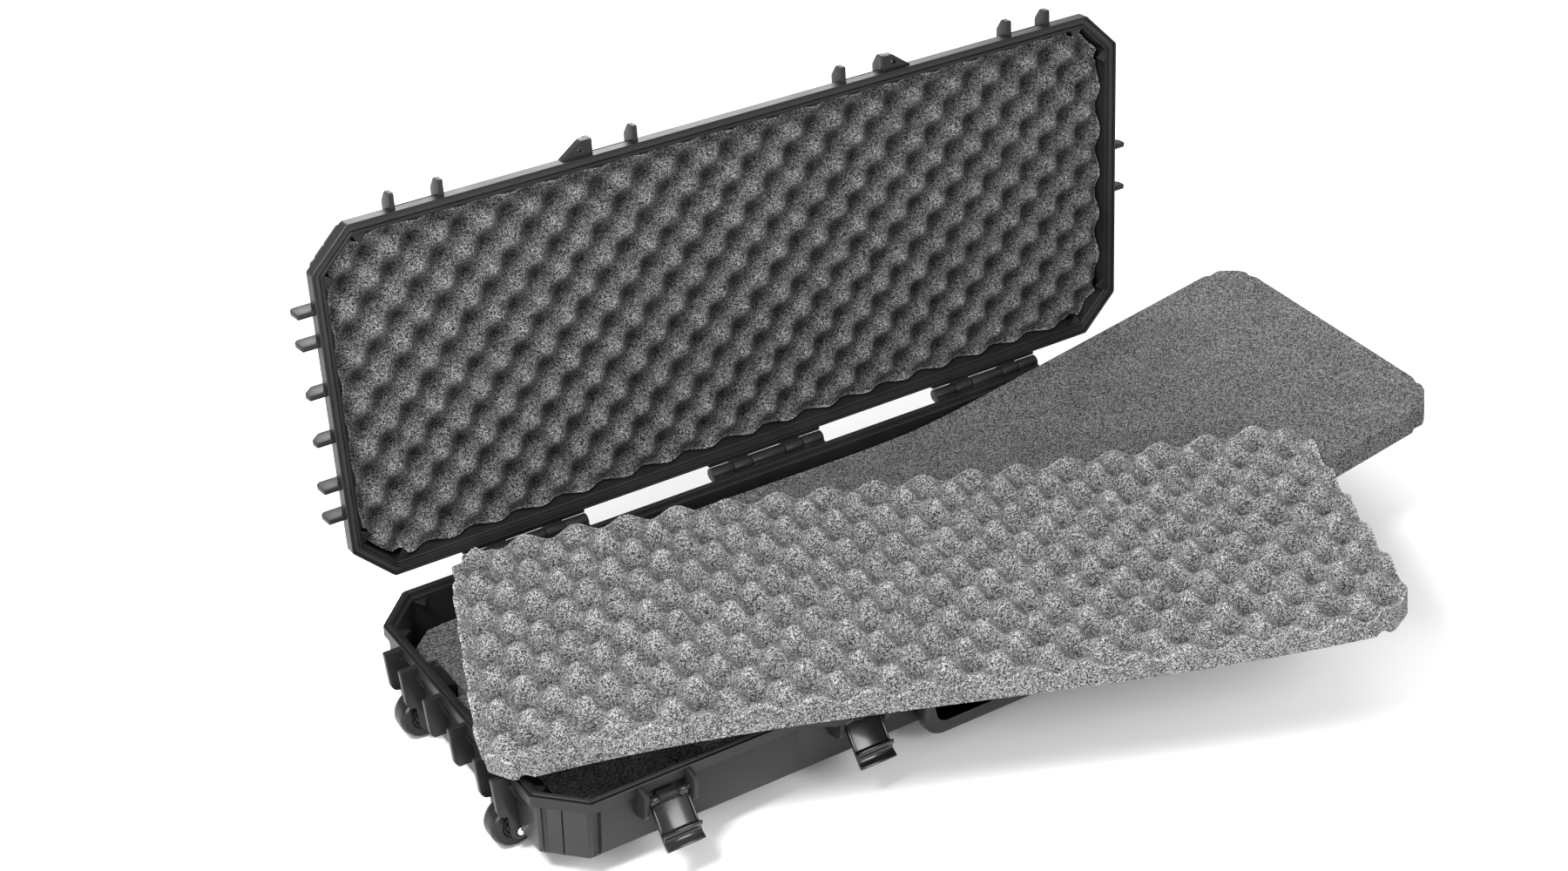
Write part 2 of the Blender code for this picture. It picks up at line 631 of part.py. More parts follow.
    # upright grooves on the four corner walls
    outline = octagon(WALL_INSET + WALL_DRAFT / 2, POST_INSET + WALL_DRAFT / 2)
    number = 0
    for sx in (-1, 1):
        for sy in (-1, 1):
            p = Vector((sx * outline[0][0], sy * outline[0][1], 0.0))
            q = Vector((sx * outline[1][0], sy * outline[1][1], 0.0))
            along = (q - p).normalized()
            turn = math.atan2(along.y, along.x)
            for place in (0.52, 0.93):
                spot = p.lerp(q, place)
                cut = box(-GROOVE_WIDTH / 2, GROOVE_WIDTH / 2, -GROOVE_DEPTH,
                          GROOVE_DEPTH, BOTTOM_Z - 0.002,
                          RIM_Z - BASE_FLANGE_HEIGHT + 0.0006)
                cut.transform(Matrix.Translation(spot)
                              @ Matrix.Rotation(turn, 4, 'Z'))
                add_object(f"groove_{number}", cut, cuts)
                number += 1
    boolean(shell, cuts, 'DIFFERENCE')
    return shell


def pivot_reach(depth):
    """A handle's pivot in front of the flange face."""
    return depth / 2 + HANDLE_BACK - WALL_INSET


# ---------------------------------------------------------------- lid
def lid_lug_profile(face):
    """Lug beside a latch or at the lid's ends, as (distance out, z) points."""
    z0 = LID_Z + LUG_START
    return [(face, z0), (LUG_OUT, z0), (LUG_OUT, z0 + LUG_HEIGHT * 0.50),
            (LUG_OUT - 0.0015, z0 + LUG_HEIGHT * 0.58),
            (0.004, z0 + LUG_HEIGHT), (-LID_WALL_INSET - 0.0026, z0 + LUG_HEIGHT),
            (-LID_WALL_INSET - 0.0026, LID_Z + LID_FLANGE_HEIGHT + 0.001),
            (face, LID_Z + LID_FLANGE_HEIGHT - 0.001)]


def build_lid(plastic, rubber, foam):
    adds = "lid_added"
    cuts = "lid_cut"
    top = LID_Z + LID_DEPTH
    over = LID_Z + LID_FLANGE_HEIGHT
    shell = add_object("lid_shell", stack([
        (LID_Z, octagon(0.0)),
        (over, octagon(0.0)),
        (over, octagon(LID_WALL_INSET, LID_POST_INSET)),
        (top - LID_EDGE_ROUND, octagon(LID_WALL_INSET + LID_DRAFT,
                                       LID_POST_INSET + LID_DRAFT)),
        (top, octagon(LID_WALL_INSET + LID_DRAFT + LID_EDGE_ROUND,
                      LID_POST_INSET + LID_DRAFT + LID_EDGE_ROUND))]),
        "hard_case", plastic)
    add_object("lid_cavity", stack([
        (LID_Z - 0.002, octagon(LID_LAND)),
        (top - SHELL_WALL, octagon(LID_LAND + LID_DRAFT))]), "lid_hollow")
    boolean(shell, "lid_hollow", 'DIFFERENCE')

    inner = octagon(TONGUE_INSET - CHANNEL_SIDE)
    outer = octagon(TONGUE_INSET + TONGUE_WIDTH + CHANNEL_SIDE)
    depth = TONGUE_HEIGHT + FIT_GAP + SEAL_THICKNESS + FIT_GAP - RIM_GAP
    add_object("seal_channel", ring(inner, outer, LID_Z - 0.002, LID_Z + depth), cuts)

    # fins at the wheel end and lugs at the other end
    for side in (-1, 1):
        for name, y in (("near", FIN_NEAR), ("middle", FIN_MIDDLE), ("far", FIN_FAR)):
            middle = side * y
            slope = 0.011 if name == "near" else 0.004
            z0 = LID_Z + LUG_START
            z1 = z0 + LID_FIN_HEIGHT
            out = -HALF_L - FIN_OUT
            points = [(-HALF_L + 0.001, z0), (out + 0.001, z0), (out, z1 - slope),
                      (out + slope, z1 - 0.0005),
                      (-HALF_L + LID_WALL_INSET + 0.0026, z1),
                      (-HALF_L + LID_WALL_INSET + 0.0026, over + 0.001),
                      (-HALF_L + 0.001, over - 0.001)]
            add_object(f"lid_fin_{name}_{side}", slab(
                points, middle - FIN_THICKNESS / 2, middle + FIN_THICKNESS / 2, "Y"),
                adds)
        middle = side * END_LUG_SPACING / 2
        points = [(HALF_L + a, z) for a, z in lid_lug_profile(-0.001)]
        add_object(f"end_lug_{side}", slab(
            points, middle - FIN_THICKNESS / 2, middle + FIN_THICKNESS / 2, "Y"), adds)
    for name, x in LATCHES:
        for side in (-1, 1):
            middle = x + side * GUARD_SPACING / 2
            points = [(-HALF_W - a, z) for a, z in lid_lug_profile(-0.001)]
            add_object(f"lug_{name}_{side}", slab(
                points, middle - GUARD_THICKNESS / 2, middle + GUARD_THICKNESS / 2,
                "X"), adds)
    for x, side in ((-LATCH_NEAR, -1), (LATCH_NEAR, 1)):
        guard = x + side * GUARD_SPACING / 2
        z0 = LID_Z + LUG_START
        add_object(f"lid_ear_{side}", padlock_ear(
            guard, side, z0, z0 + EAR_THICKNESS), adds)
        add_object(f"lid_ear_hole_{side}", rod(
            "Z", (ear_hole_x(guard, side), -HALF_W - EAR_HOLE_OUT, LID_Z + 0.012),
            EAR_HOLE_RADIUS, 0.05, 16), cuts)
    for name, x in HINGES:
        for i, (x0, x1) in enumerate(hinge_spans()[1]):
            add_object(f"lid_knuckle_{name}_{i}", slab(
                knuckle_profile(1), x + x0, x + x1, "X"), adds)
        add_object(f"lid_hinge_hole_{name}", rod(
            "X", (x, HINGE.y, HINGE.z), HINGE_PIN_RADIUS + RUNNING_GAP, 0.17, 18),
            cuts)
    retaining_tabs(adds, LID_Z + TAB_DEPTH, LID_LAND)
    boolean(shell, adds, 'UNION')
    boolean(shell, cuts, 'DIFFERENCE')

    z0 = LID_Z + depth - FIT_GAP - SEAL_THICKNESS
    side = CHANNEL_SIDE - SEAL_SIDE
    seal = add_object("lid_seal", ring(
        octagon(TONGUE_INSET - side), octagon(TONGUE_INSET + TONGUE_WIDTH + side),
        z0, z0 + SEAL_THICKNESS), "hard_case", rubber)

    inset = LID_LAND + LID_DRAFT + LID_FOAM_SIDE
    length = RIM_LENGTH - 2 * inset
    width = RIM_WIDTH - 2 * inset
    sheet = egg_crate("lid_foam", length, width, foam)
    add_object("lid_foam_trim", stack([
        (-0.01, octagon(inset)), (EGG_PEAK + 0.01, octagon(inset))]), "lid_foam_keep")
    boolean(sheet, "lid_foam_keep", 'INTERSECT')
    for number, points in enumerate(tab_outlines(LID_LAND, TAB_ROOM)):
        add_object(f"lid_foam_notch_{number}", slab(
            points, -0.01, EGG_PEAK + 0.01, "Z"), "lid_foam_notches")
    boolean(sheet, "lid_foam_notches", 'DIFFERENCE')
    turned = Matrix.Translation((0.0, 0.0, top - SHELL_WALL - FIT_GAP)) \
        @ Matrix.Rotation(math.pi, 4, 'X')
    sheet.data.transform(turned)
    foam_tools = [thing for group in ("lid_foam_keep", "lid_foam_notches")
                  for thing in COLLECTIONS[group].objects]
    for thing in foam_tools:
        thing.data.transform(turned)

    tools = foam_tools + [thing for group in ("lid_hollow", adds, cuts)
                          for thing in COLLECTIONS[group].objects]
    hang_on("lid_axis", HINGE, (-LID_OPEN_ANGLE, 0.0, 0.0),
            [shell, seal, sheet] + tools)
    return shell


# ---------------------------------------------------------------- small metal
def build_pins(steel):
    spans = hinge_spans()[0]
    length = spans[2][1] - spans[0][0]
    for name, x in HINGES:
        add_object(f"hinge_pin_{name}", rod(
            "X", (x, HINGE.y, HINGE.z), HINGE_PIN_RADIUS, length - 0.0006, 18),
            "hard_case", steel, smooth=True)
    for name, x in LATCHES:
        add_object(f"latch_pin_{name}", rod(
            "X", (x, LATCH_Y, LATCH_Z), LATCH_PIN_RADIUS,
            GUARD_SPACING + GUARD_THICKNESS - 0.0006, 16),
            "hard_case", steel, smooth=True)
    for name, side in (("left", -1), ("right", 1)):
        reach = pivot_reach(HANDLE_DEPTH)
        length = HANDLE_EAR + HANDLE_SIDE + HANDLE_ARM * 0.7
        middle = side * (HANDLE_WIDTH / 2 + HANDLE_SIDE + HANDLE_EAR - length / 2
                         - 0.0003)
        add_object(f"carry_handle_pin_{name}", rod(
            "X", (middle, -HALF_W - reach, RIM_Z - HANDLE_DROP), HANDLE_PIN_RADIUS,
            length, 16), "hard_case", steel, smooth=True)
    for name, side in (("front", -1), ("back", 1)):
        reach = pivot_reach(PULL_DEPTH)
        length = HANDLE_EAR + HANDLE_SIDE + PULL_ARM * 0.7
        middle = side * (PULL_WIDTH / 2 + HANDLE_SIDE + HANDLE_EAR - length / 2
                         - 0.0003)
        add_object(f"pull_handle_pin_{name}", rod(
            "Y", (HALF_L + reach, middle, RIM_Z - HANDLE_DROP), HANDLE_PIN_RADIUS,
            length, 16), "hard_case", steel, smooth=True)


# ---------------------------------------------------------------- latches
def build_latch(name, x, plastic):
    """Draw latch: two knuckles on the pin, a plate, a hook and a lifting lip."""
    y, z = LATCH_Y, LATCH_Z
    out = -LATCH_PLATE * 0.8
    inn = out + LATCH_PLATE
    hook = LID_FLANGE_HEIGHT + RIM_GAP + LATCH_PIN_DROP + 0.0004
    bite = LATCH_PIN_OUT + LATCH_HOOK_BITE
    tip = LATCH_LENGTH
    plate = [(inn, LATCH_BARREL_RADIUS + 0.0008), (inn, hook), (bite, hook),
             (bite, hook + LATCH_HOOK_THICKNESS * 0.45),
             (bite - 0.0028, hook + LATCH_HOOK_THICKNESS),
             (inn + 0.0012, hook + LATCH_HOOK_THICKNESS + 0.0012),
             (inn, hook + LATCH_HOOK_THICKNESS + 0.0035), (inn, tip - 0.0055),
             (inn + 0.0022, tip - 0.0030), (inn + 0.0024, tip - 0.0006),
             (inn + 0.0010, tip), (out + 0.0008, tip - 0.0004),
             (out, tip - 0.0014), (out, LATCH_BARREL_RADIUS + 0.0008)]
    plate = [(y + a, z + b) for a, b in plate]
    body = add_object(f"latch_{name}", slab(
        plate, x - LATCH_WIDTH / 2, x + LATCH_WIDTH / 2, "X"), "hard_case", plastic)
    group = f"latch_{name}_added"
    for side in (-1, 1):
        x0 = x + side * (LATCH_BOSS_WIDTH / 2 + 0.0006)
        x1 = x + side * LATCH_WIDTH / 2
        knuckle = arc(y, z, LATCH_BARREL_RADIUS, -210, 30, 12)
        knuckle += [(y + inn, z + LATCH_BARREL_RADIUS + 0.0022),
                    (y + out, z + LATCH_BARREL_RADIUS + 0.0022)]
        add_object(f"latch_knuckle_{name}_{side}", slab(
            knuckle, min(x0, x1) + (0.0 if side > 0 else 0.0001),
            max(x0, x1) - (0.0001 if side > 0 else 0.0), "X"), group)
    boolean(body, group, 'UNION')
    cut = f"latch_{name}_cut"
    add_object(f"latch_bore_{name}", rod(
        "X", (x, y, z), LATCH_PIN_RADIUS + RUNNING_GAP, LATCH_WIDTH + 0.01, 16), cut)
    boolean(body, cut, 'DIFFERENCE')
    tools = [thing for key in (group, cut) for thing in COLLECTIONS[key].objects]
    hang_on(f"latch_axis_{name}", (x, y, z), (LATCH_OPEN_ANGLE, 0.0, 0.0),
            [body] + tools)


# ---------------------------------------------------------------- wheels
def build_wheel(name, side, rubber, plastic, steel):
    centre = (AXLE_X, side * WHEEL_Y, AXLE_Z)
    shoulder = 0.0035
    half = WHEEL_WIDTH / 2
    bore = HUB_RADIUS + FIT_GAP
    profile = [(bore, -half), (WHEEL_RADIUS - shoulder, -half),
               (WHEEL_RADIUS - shoulder * 0.3, -half + shoulder * 0.3),
               (WHEEL_RADIUS, -half + shoulder), (WHEEL_RADIUS, half - shoulder),
               (WHEEL_RADIUS - shoulder * 0.3, half - shoulder * 0.3),
               (WHEEL_RADIUS - shoulder, half), (bore, half)]
    tyre = add_object(f"tyre_{name}", turned(profile, centre, 40),
                      "hard_case", rubber, smooth=True)
    half += HUB_SIDE
    bore = AXLE_RADIUS + RUNNING_GAP
    profile = [(bore, -half), (0.0060, -half), (0.0070, -half + 0.0022),
               (HUB_RADIUS - 0.003, -half + 0.0022), (HUB_RADIUS - 0.002, -half + 0.0008),
               (HUB_RADIUS, -half + 0.0012), (HUB_RADIUS, half - 0.0012),
               (HUB_RADIUS - 0.002, half - 0.0008), (HUB_RADIUS - 0.003, half - 0.0022),
               (0.0070, half - 0.0022), (0.0060, half), (bore, half)]
    hub = add_object(f"wheel_hub_{name}", turned(profile, centre, 28),
                     "hard_case", plastic, smooth=True)
    own_origin(tyre, centre)
    own_origin(hub, centre)

    outside = side * (FIN_FAR + FIN_THICKNESS / 2)
    inside = side * (FIN_MIDDLE - FIN_THICKNESS / 2)
    end = inside - side * (NUT_HEIGHT + 0.0020)
    start = outside + side * FIT_GAP
    sides = 18
    shaft = rod("Y", (AXLE_X, (start + end) / 2, AXLE_Z), AXLE_RADIUS,
                abs(start - end) + 0.001, sides)
    bolt = add_object(f"axle_bolt_{name}", shaft, "hard_case", steel, smooth=True)
    group = f"axle_{name}_head"
    add_object(f"bolt_head_{name}", rod(
        "Y", (AXLE_X, start + side * BOLT_HEAD_HEIGHT / 2, AXLE_Z), BOLT_HEAD_RADIUS,
        BOLT_HEAD_HEIGHT, 24), group)
    boolean(bolt, group, 'UNION')
    nut = add_object(f"axle_nut_{name}", rod(
        "Y", (AXLE_X, inside - side * (FIT_GAP + NUT_HEIGHT / 2), AXLE_Z), NUT_RADIUS,
        NUT_HEIGHT, 6), "hard_case", steel)
    group = f"axle_{name}_nut_bore"
    add_object(f"nut_bore_{name}", rod(
        "Y", (AXLE_X, inside, AXLE_Z), AXLE_RADIUS + RUNNING_GAP, 0.04, sides), group)
    boolean(nut, group, 'DIFFERENCE')


def turned(profile, centre, steps):
    """Closed (radius, distance) profile spun about the Y axis at a centre."""
    bm = bmesh.new()
    verts = [bm.verts.new((radius, along, 0.0)) for radius, along in profile]
    edges = [bm.edges.new((verts[i], verts[(i + 1) % len(verts)]))
             for i in range(len(verts))]
    bmesh.ops.spin(bm, geom=verts + edges, cent=(0.0, 0.0, 0.0), axis=(0.0, 1.0, 0.0),
                   angle=2 * math.pi, steps=steps)
    bmesh.ops.remove_doubles(bm, verts=bm.verts[:], dist=0.00001)
    bmesh.ops.translate(bm, vec=centre, verts=bm.verts[:])
    return bm


# ---------------------------------------------------------------- handles
def handle_outline(width, drop, length, grip, arm, corner, top):
    """U outline of a hanging handle, as (across, z) points."""
    z = RIM_Z - drop
    low = z - length
    half = width / 2
    inner = half - arm
    inner_low = low + grip
    soft = 0.010
    points = [(-half, top)]
    points += arc(-half + corner, low + corner, corner, 180, 270, 6)
    points += arc(half - corner, low + corner, corner, 270, 360, 6)
    points += [(half, top), (inner, top)]
    points += arc(inner - soft, inner_low + soft, soft, 0, -90, 4)
    points += arc(-inner + soft, inner_low + soft, soft, -90, -180, 4)
    points.append((-inner, top))
    return points


def build_handle(name, width, depth, length, grip, arm, corner, along, plastic):
    """Hanging U handle whose arm ends are round about the pivot."""
    reach = pivot_reach(depth)
    z = RIM_Z - HANDLE_DROP
    r = depth / 2
    outline = handle_outline(width, HANDLE_DROP, length, grip, arm, corner, z + r + 0.004)
    side = [(reach + r, z - length - 0.004), (reach + r, z)]
    side += arc(reach, z, r, 0, 180, 12)[1:-1]
    side += [(reach - r, z), (reach - r, z - length - 0.004)]
    group = f"{name}_keep"
    cut = f"{name}_cut"
    if along == "X":
        body = slab(outline, -HALF_W - reach - r - 0.01, -HALF_W - reach + r + 0.01, "Y")
        keep = slab([(-HALF_W - a, b) for a, b in side], -width, width, "X")
        bore = rod("X", (0.0, -HALF_W - reach, z), HANDLE_PIN_RADIUS + RUNNING_GAP,
                   width + 0.02, 16)
        pivot = (0.0, -HALF_W - reach, z)
    else:
        body = slab(outline, HALF_L + reach - r - 0.01, HALF_L + reach + r + 0.01, "X")
        keep = slab([(HALF_L + a, b) for a, b in side], -width, width, "Y")
        bore = rod("Y", (HALF_L + reach, 0.0, z), HANDLE_PIN_RADIUS + RUNNING_GAP,
                   width + 0.02, 16)
        pivot = (HALF_L + reach, 0.0, z)
    made = add_object(name, body, "hard_case", plastic)
    add_object(f"{name}_round", keep, group)
    boolean(made, group, 'INTERSECT')
    bevel(made, 0.0016, angle=50.0)
    add_object(f"{name}_bore", bore, cut)
    boolean(made, cut, 'DIFFERENCE')
    for thing in (made, COLLECTIONS[group].objects[0], COLLECTIONS[cut].objects[0]):
        own_origin(thing, pivot)


# ---------------------------------------------------------------- foam
def egg_height(x, y):
    """Thickness of an egg-crate sheet at a point measured from its corner."""
    wave = math.cos(math.pi * x / EGG_STEP) * math.cos(math.pi * y / EGG_STEP)
    return (EGG_PEAK + EGG_PIT) / 2 + (EGG_PEAK - EGG_PIT) / 2 * wave


def egg_crate(name, length, width, mat, bend=None):
    """Foam sheet with a flat underside at z = 0 and a bumpy top.

    Grid lines lie one step apart, so that each crossing is a peak or a pit.
    The pattern is centred along the sheet, and its two edge rows take what
    is left over.
    """
    nx = int(math.ceil(length / EGG_STEP))
    ny = int(math.ceil(width / EGG_STEP))
    bm = bmesh.new()
    bmesh.ops.create_grid(bm, x_segments=nx, y_segments=ny, size=0.5)
    for vert in bm.verts:
        i = round((vert.co.x + 0.5) * nx)
        j = round((vert.co.y + 0.5) * ny)
        x = (i - nx / 2) * EGG_STEP
        y = (j - ny / 2) * EGG_STEP
        x = max(-length / 2, min(length / 2, x))
        y = max(-width / 2, min(width / 2, y))
        vert.co = (x, y, egg_height(x + nx * EGG_STEP / 2, y + ny * EGG_STEP / 2))
    for face in bm.faces:
        face.select_set(False)
    # the diagonals run from pit to pit, so that peaks stay pointed
    quads = [f for f in bm.faces if len(f.verts) == 4]
    for face in quads:
        verts = list(face.verts)
        low = sorted(verts, key=lambda v: v.co.z)[:2]
        if abs(low[0].co.z - low[1].co.z) < 1e-6 and not any(
                e.other_vert(low[0]) is low[1] for e in low[0].link_edges):
            bmesh.ops.connect_vert_pair(bm, verts=low)
    bmesh.ops.triangulate(bm, faces=[f for f in bm.faces if len(f.verts) > 3])
    made = bmesh.ops.extrude_face_region(bm, geom=bm.faces[:])
    low = [v for v in made["geom"] if isinstance(v, bmesh.types.BMVert)]
    for vert in low:
        vert.co.z = 0.0
    under = [f for f in bm.faces if all(abs(v.co.z) < 1e-9 for v in f.verts)]
    if bend is None:
        bmesh.ops.dissolve_limit(bm, angle_limit=0.01, verts=[],
                                 edges=list({e for f in under for e in f.edges
                                             if all(g in under for g in e.link_faces)}))
    else:
        inner = {e for f in under for e in f.edges
                 if all(abs(v.co.z) < 1e-9 for v in e.verts)
                 and all(all(abs(v.co.z) < 1e-9 for v in g.verts)
                         for g in e.link_faces)}
        across = [e for e in inner
                  if abs(e.verts[0].co.x - e.verts[1].co.x) > 1e-7]
        bmesh.ops.dissolve_edges(bm, edges=across, use_verts=False)
        loose = [v for v in bm.verts if abs(v.co.z) < 1e-9 and len(v.link_edges) == 2
                 and abs(v.co.y) < width / 2 - 1e-6]
        bmesh.ops.dissolve_verts(bm, verts=loose)
    return add_object(name, bm, "hard_case", mat)


def top_sheet_place():
    """Tilt and turn of the upper loose sheet about the middle of its left end."""
    rest = (-HALF_L + TOP_REST_X, TOP_REST_Y, RIM_Z + TOP_REST_RISE)
    return (Matrix.Translation(rest) @ Matrix.Rotation(TOP_TURN, 4, 'Z')
            @ Matrix.Rotation(-TOP_TILT, 4, 'Y')
            @ Matrix.Translation((TOP_LENGTH / 2, 0.0, 0.0)))


def top_sheet_point(x, y, z):
    """Bends, tilts and turns a point of the upper loose sheet into place."""
    s = x / (TOP_LENGTH / 2)
    droop = TOP_DROOP_LEFT if s < 0 else TOP_DROOP_RIGHT
    bend = -droop * abs(s) ** 3
    slope = -droop * 3 * s * abs(s) / (TOP_LENGTH / 2)
    return top_sheet_place() @ Vector((x - z * slope, y, z + bend))


def corner_cutters(length, width, cut, group, height):
    """Four upright wedges that take the corners off a sheet."""
    number = 0
    for sx in (-1, 1):
        for sy in (-1, 1):
            a = sx * length / 2
            b = sy * width / 2
            far = 0.02
            points = [(a - sx * (cut + far), b + sy * far),
                      (a + sx * far, b - sy * (cut + far)),
                      (a + sx * 2 * far, b + sy * 2 * far)]
            add_object(f"{group}_{number}", slab(points, -height, height, "Z"), group)
            number += 1


def flat_rise(x):
    """Height of the flat sheet's underside above the rim plane along X."""
    floor = FLOOR_Z + FIT_GAP + FLOOR_FOAM + FIT_GAP - RIM_Z
    span = FLAT_END_X - FLAT_RAMP_START
    slope = (FLAT_END_RISE - floor) / span
    soft = FLAT_RAMP_SOFT
    value = slope * soft * math.log1p(math.exp((x - FLAT_RAMP_START) / soft))
    last = slope * soft * math.log1p(math.exp(span / soft))
    share = max(0.0, min(1.0, (x - FLAT_RAMP_START) / span))
    return floor + value - (last - slope * span) * share


def build_loose_foam(foam, dark_foam):
    # flat sheet: a strip bent along its length, from the tub's floor over the rim
    steps = FLAT_STEPS
    bm = bmesh.new()
    bmesh.ops.create_grid(bm, x_segments=steps, y_segments=2, size=0.5)
    for vert in bm.verts:
        vert.co = (vert.co.x * FLAT_LENGTH, vert.co.y * FLAT_WIDTH, 0.0)
    made = bmesh.ops.extrude_face_region(bm, geom=bm.faces[:])
    top = [v for v in made["geom"] if isinstance(v, bmesh.types.BMVert)]
    bmesh.ops.translate(bm, vec=(0.0, 0.0, FLAT_THICKNESS), verts=top)
    flat = add_object("loose_flat_foam", bm, "hard_case", dark_foam)
    # walk along the ramp so that the strip keeps its length
    places = [(FLAT_END_X, flat_rise(FLAT_END_X))]
    step = FLAT_LENGTH / steps
    for _ in range(steps):
        x, z = places[-1]
        slope = (flat_rise(x) - flat_rise(x - 0.001)) / 0.001
        x -= step / math.hypot(1.0, slope)
        places.append((x, flat_rise(x)))
    turn = Matrix.Rotation(FLAT_TURN, 4, 'Z')
    for vert in flat.data.vertices:
        index = round((0.5 - vert.co.x / FLAT_LENGTH) * steps)
        x, z = places[index]
        slope = (flat_rise(x + 0.0005) - flat_rise(x - 0.0005)) / 0.001
        lean = math.atan(slope)
        x -= vert.co.z * math.sin(lean)
        z += vert.co.z * math.cos(lean)
        spot = turn @ Vector((x - FLAT_END_X, vert.co.y, 0.0))
        vert.co = (FLAT_END_X + spot.x, FLAT_END_Y + spot.y, RIM_Z + z)
    # its four corners are cut off
    number = 0
    for index, sx in ((0, 1), (steps, -1)):
        x = places[index][0]
        for sy in (-1, 1):
            a = x - FLAT_END_X
            b = sy * FLAT_WIDTH / 2
            far = 0.03
            points = [(a - sx * (FLAT_CORNER + far), b + sy * far),
                      (a + sx * far, b - sy * (FLAT_CORNER + far)),
                      (a + sx * 2 * far, b + sy * 2 * far)]
            cut = slab(points, -0.1, 0.5, "Z")
            cut.transform(Matrix.Translation((FLAT_END_X, FLAT_END_Y, 0.0)) @ turn)
            add_object(f"flat_corner_{number}", cut, "flat_corners")
            number += 1
    boolean(flat, "flat_corners", 'DIFFERENCE')

    # egg-crate sheet lying slantwise over the rim and the flat sheet
    sheet = egg_crate("loose_egg_crate_foam", TOP_LENGTH, TOP_WIDTH, foam, bend=True)
    for vert in sheet.data.vertices:
        vert.co = top_sheet_point(*vert.co)
    corner_cutters(TOP_LENGTH, TOP_WIDTH, TOP_CORNER, "top_corners", 0.2)
    for thing in COLLECTIONS["top_corners"].objects:
        thing.data.transform(top_sheet_place())
    boolean(sheet, "top_corners", 'DIFFERENCE')


def build_floor_foam(foam):
    """Flat foam on the floor of the tub, notched round the wheel wells."""
    inset = RIM_LAND + WALL_DRAFT + FLOOR_FOAM_SIDE
    z0 = FLOOR_Z + FIT_GAP
    floor = add_object("base_floor_foam", stack([
        (z0, octagon(inset)), (z0 + FLOOR_FOAM, octagon(inset))]), "hard_case", foam)
    for side in (-1, 1):
        near = side * (FIN_MIDDLE - FIN_THICKNESS / 2 - NUT_POCKET - SHELL_WALL
                       - FLOOR_FOAM_SIDE)
        far = side * (FIN_FAR + FLOOR_FOAM_SIDE)
        add_object(f"floor_notch_{side}", box(
            -HALF_L, WELL_X + SHELL_WALL + FLOOR_FOAM_SIDE, min(near, far),
            max(near, far), 0.0, WELL_TOP + 0.02), "floor_notches")
    boolean(floor, "floor_notches", 'DIFFERENCE')


# ---------------------------------------------------------------- the whole case
def centre_on_ground():
    """Puts the origin at the middle of the whole case's footprint."""
    bpy.context.view_layer.update()
    seen = bpy.context.evaluated_depsgraph_get()
    corners = []
    for thing in collection("hard_case").objects:
        if thing.type == 'MESH':
            shape = thing.evaluated_get(seen)
            corners += [shape.matrix_world @ vert.co for vert in shape.data.vertices]
    shift = Vector([-(min(p[i] for p in corners) + max(p[i] for p in corners)) / 2
                    for i in (0, 1)] + [0.0])
    for thing in bpy.data.objects:
        if thing.parent is None:
            thing.location += shift


def main():
    clear_scene()
    plastic = material("black_plastic", (0.018, 0.018, 0.019), 0.42)
    latch_plastic = material("latch_plastic", (0.020, 0.020, 0.021), 0.30)
    handle_plastic = material("handle_plastic", (0.022, 0.022, 0.023), 0.50)
    tyre_rubber = material("tyre_rubber", (0.025, 0.025, 0.026), 0.62)
    hub_plastic = material("hub_plastic", (0.015, 0.015, 0.016), 0.38)
    seal_rubber = material("seal_rubber", (0.030, 0.030, 0.031), 0.70)
    steel = material("zinc_steel", (0.70, 0.70, 0.71), 0.30, 1.0)
    pin_steel = material("pin_steel", (0.16, 0.16, 0.17), 0.35, 1.0)
    lid_foam = material("lid_foam", (0.075, 0.075, 0.078), 0.95)
    top_foam = material("egg_crate_foam", (0.20, 0.20, 0.205), 0.95)
    flat_foam = material("flat_foam", (0.100, 0.100, 0.104), 0.95)

    build_base_shell(plastic)
    build_lid(plastic, seal_rubber, lid_foam)
    build_pins(pin_steel)
    for name, x in LATCHES:
        build_latch(name, x, latch_plastic)
    for name, side in WHEELS:
        build_wheel(name, side, tyre_rubber, hub_plastic, steel)
    build_handle("carry_handle", HANDLE_WIDTH, HANDLE_DEPTH, HANDLE_LENGTH,
                 HANDLE_GRIP, HANDLE_ARM, HANDLE_CORNER, "X", handle_plastic)
    build_handle("pull_handle", PULL_WIDTH, PULL_DEPTH, PULL_LENGTH, PULL_GRIP,
                 PULL_ARM, PULL_CORNER, "Y", handle_plastic)
    build_floor_foam(flat_foam)
    build_loose_foam(top_foam, flat_foam)
    centre_on_ground()


main()
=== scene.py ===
"""Looks of a long wheeled hard case, open, with foam sheets fanned over its rim.

Lengths are metres.  Pieces are drawn about the middle of the rim with z = 0 on
the ground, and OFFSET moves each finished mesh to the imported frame's place.
"""

import math

import bmesh
import bpy
import numpy as np
from bpy.props import FloatProperty, FloatVectorProperty, IntProperty, PointerProperty
from bpy.types import Operator, Panel, PropertyGroup
from mathutils import Matrix, Vector


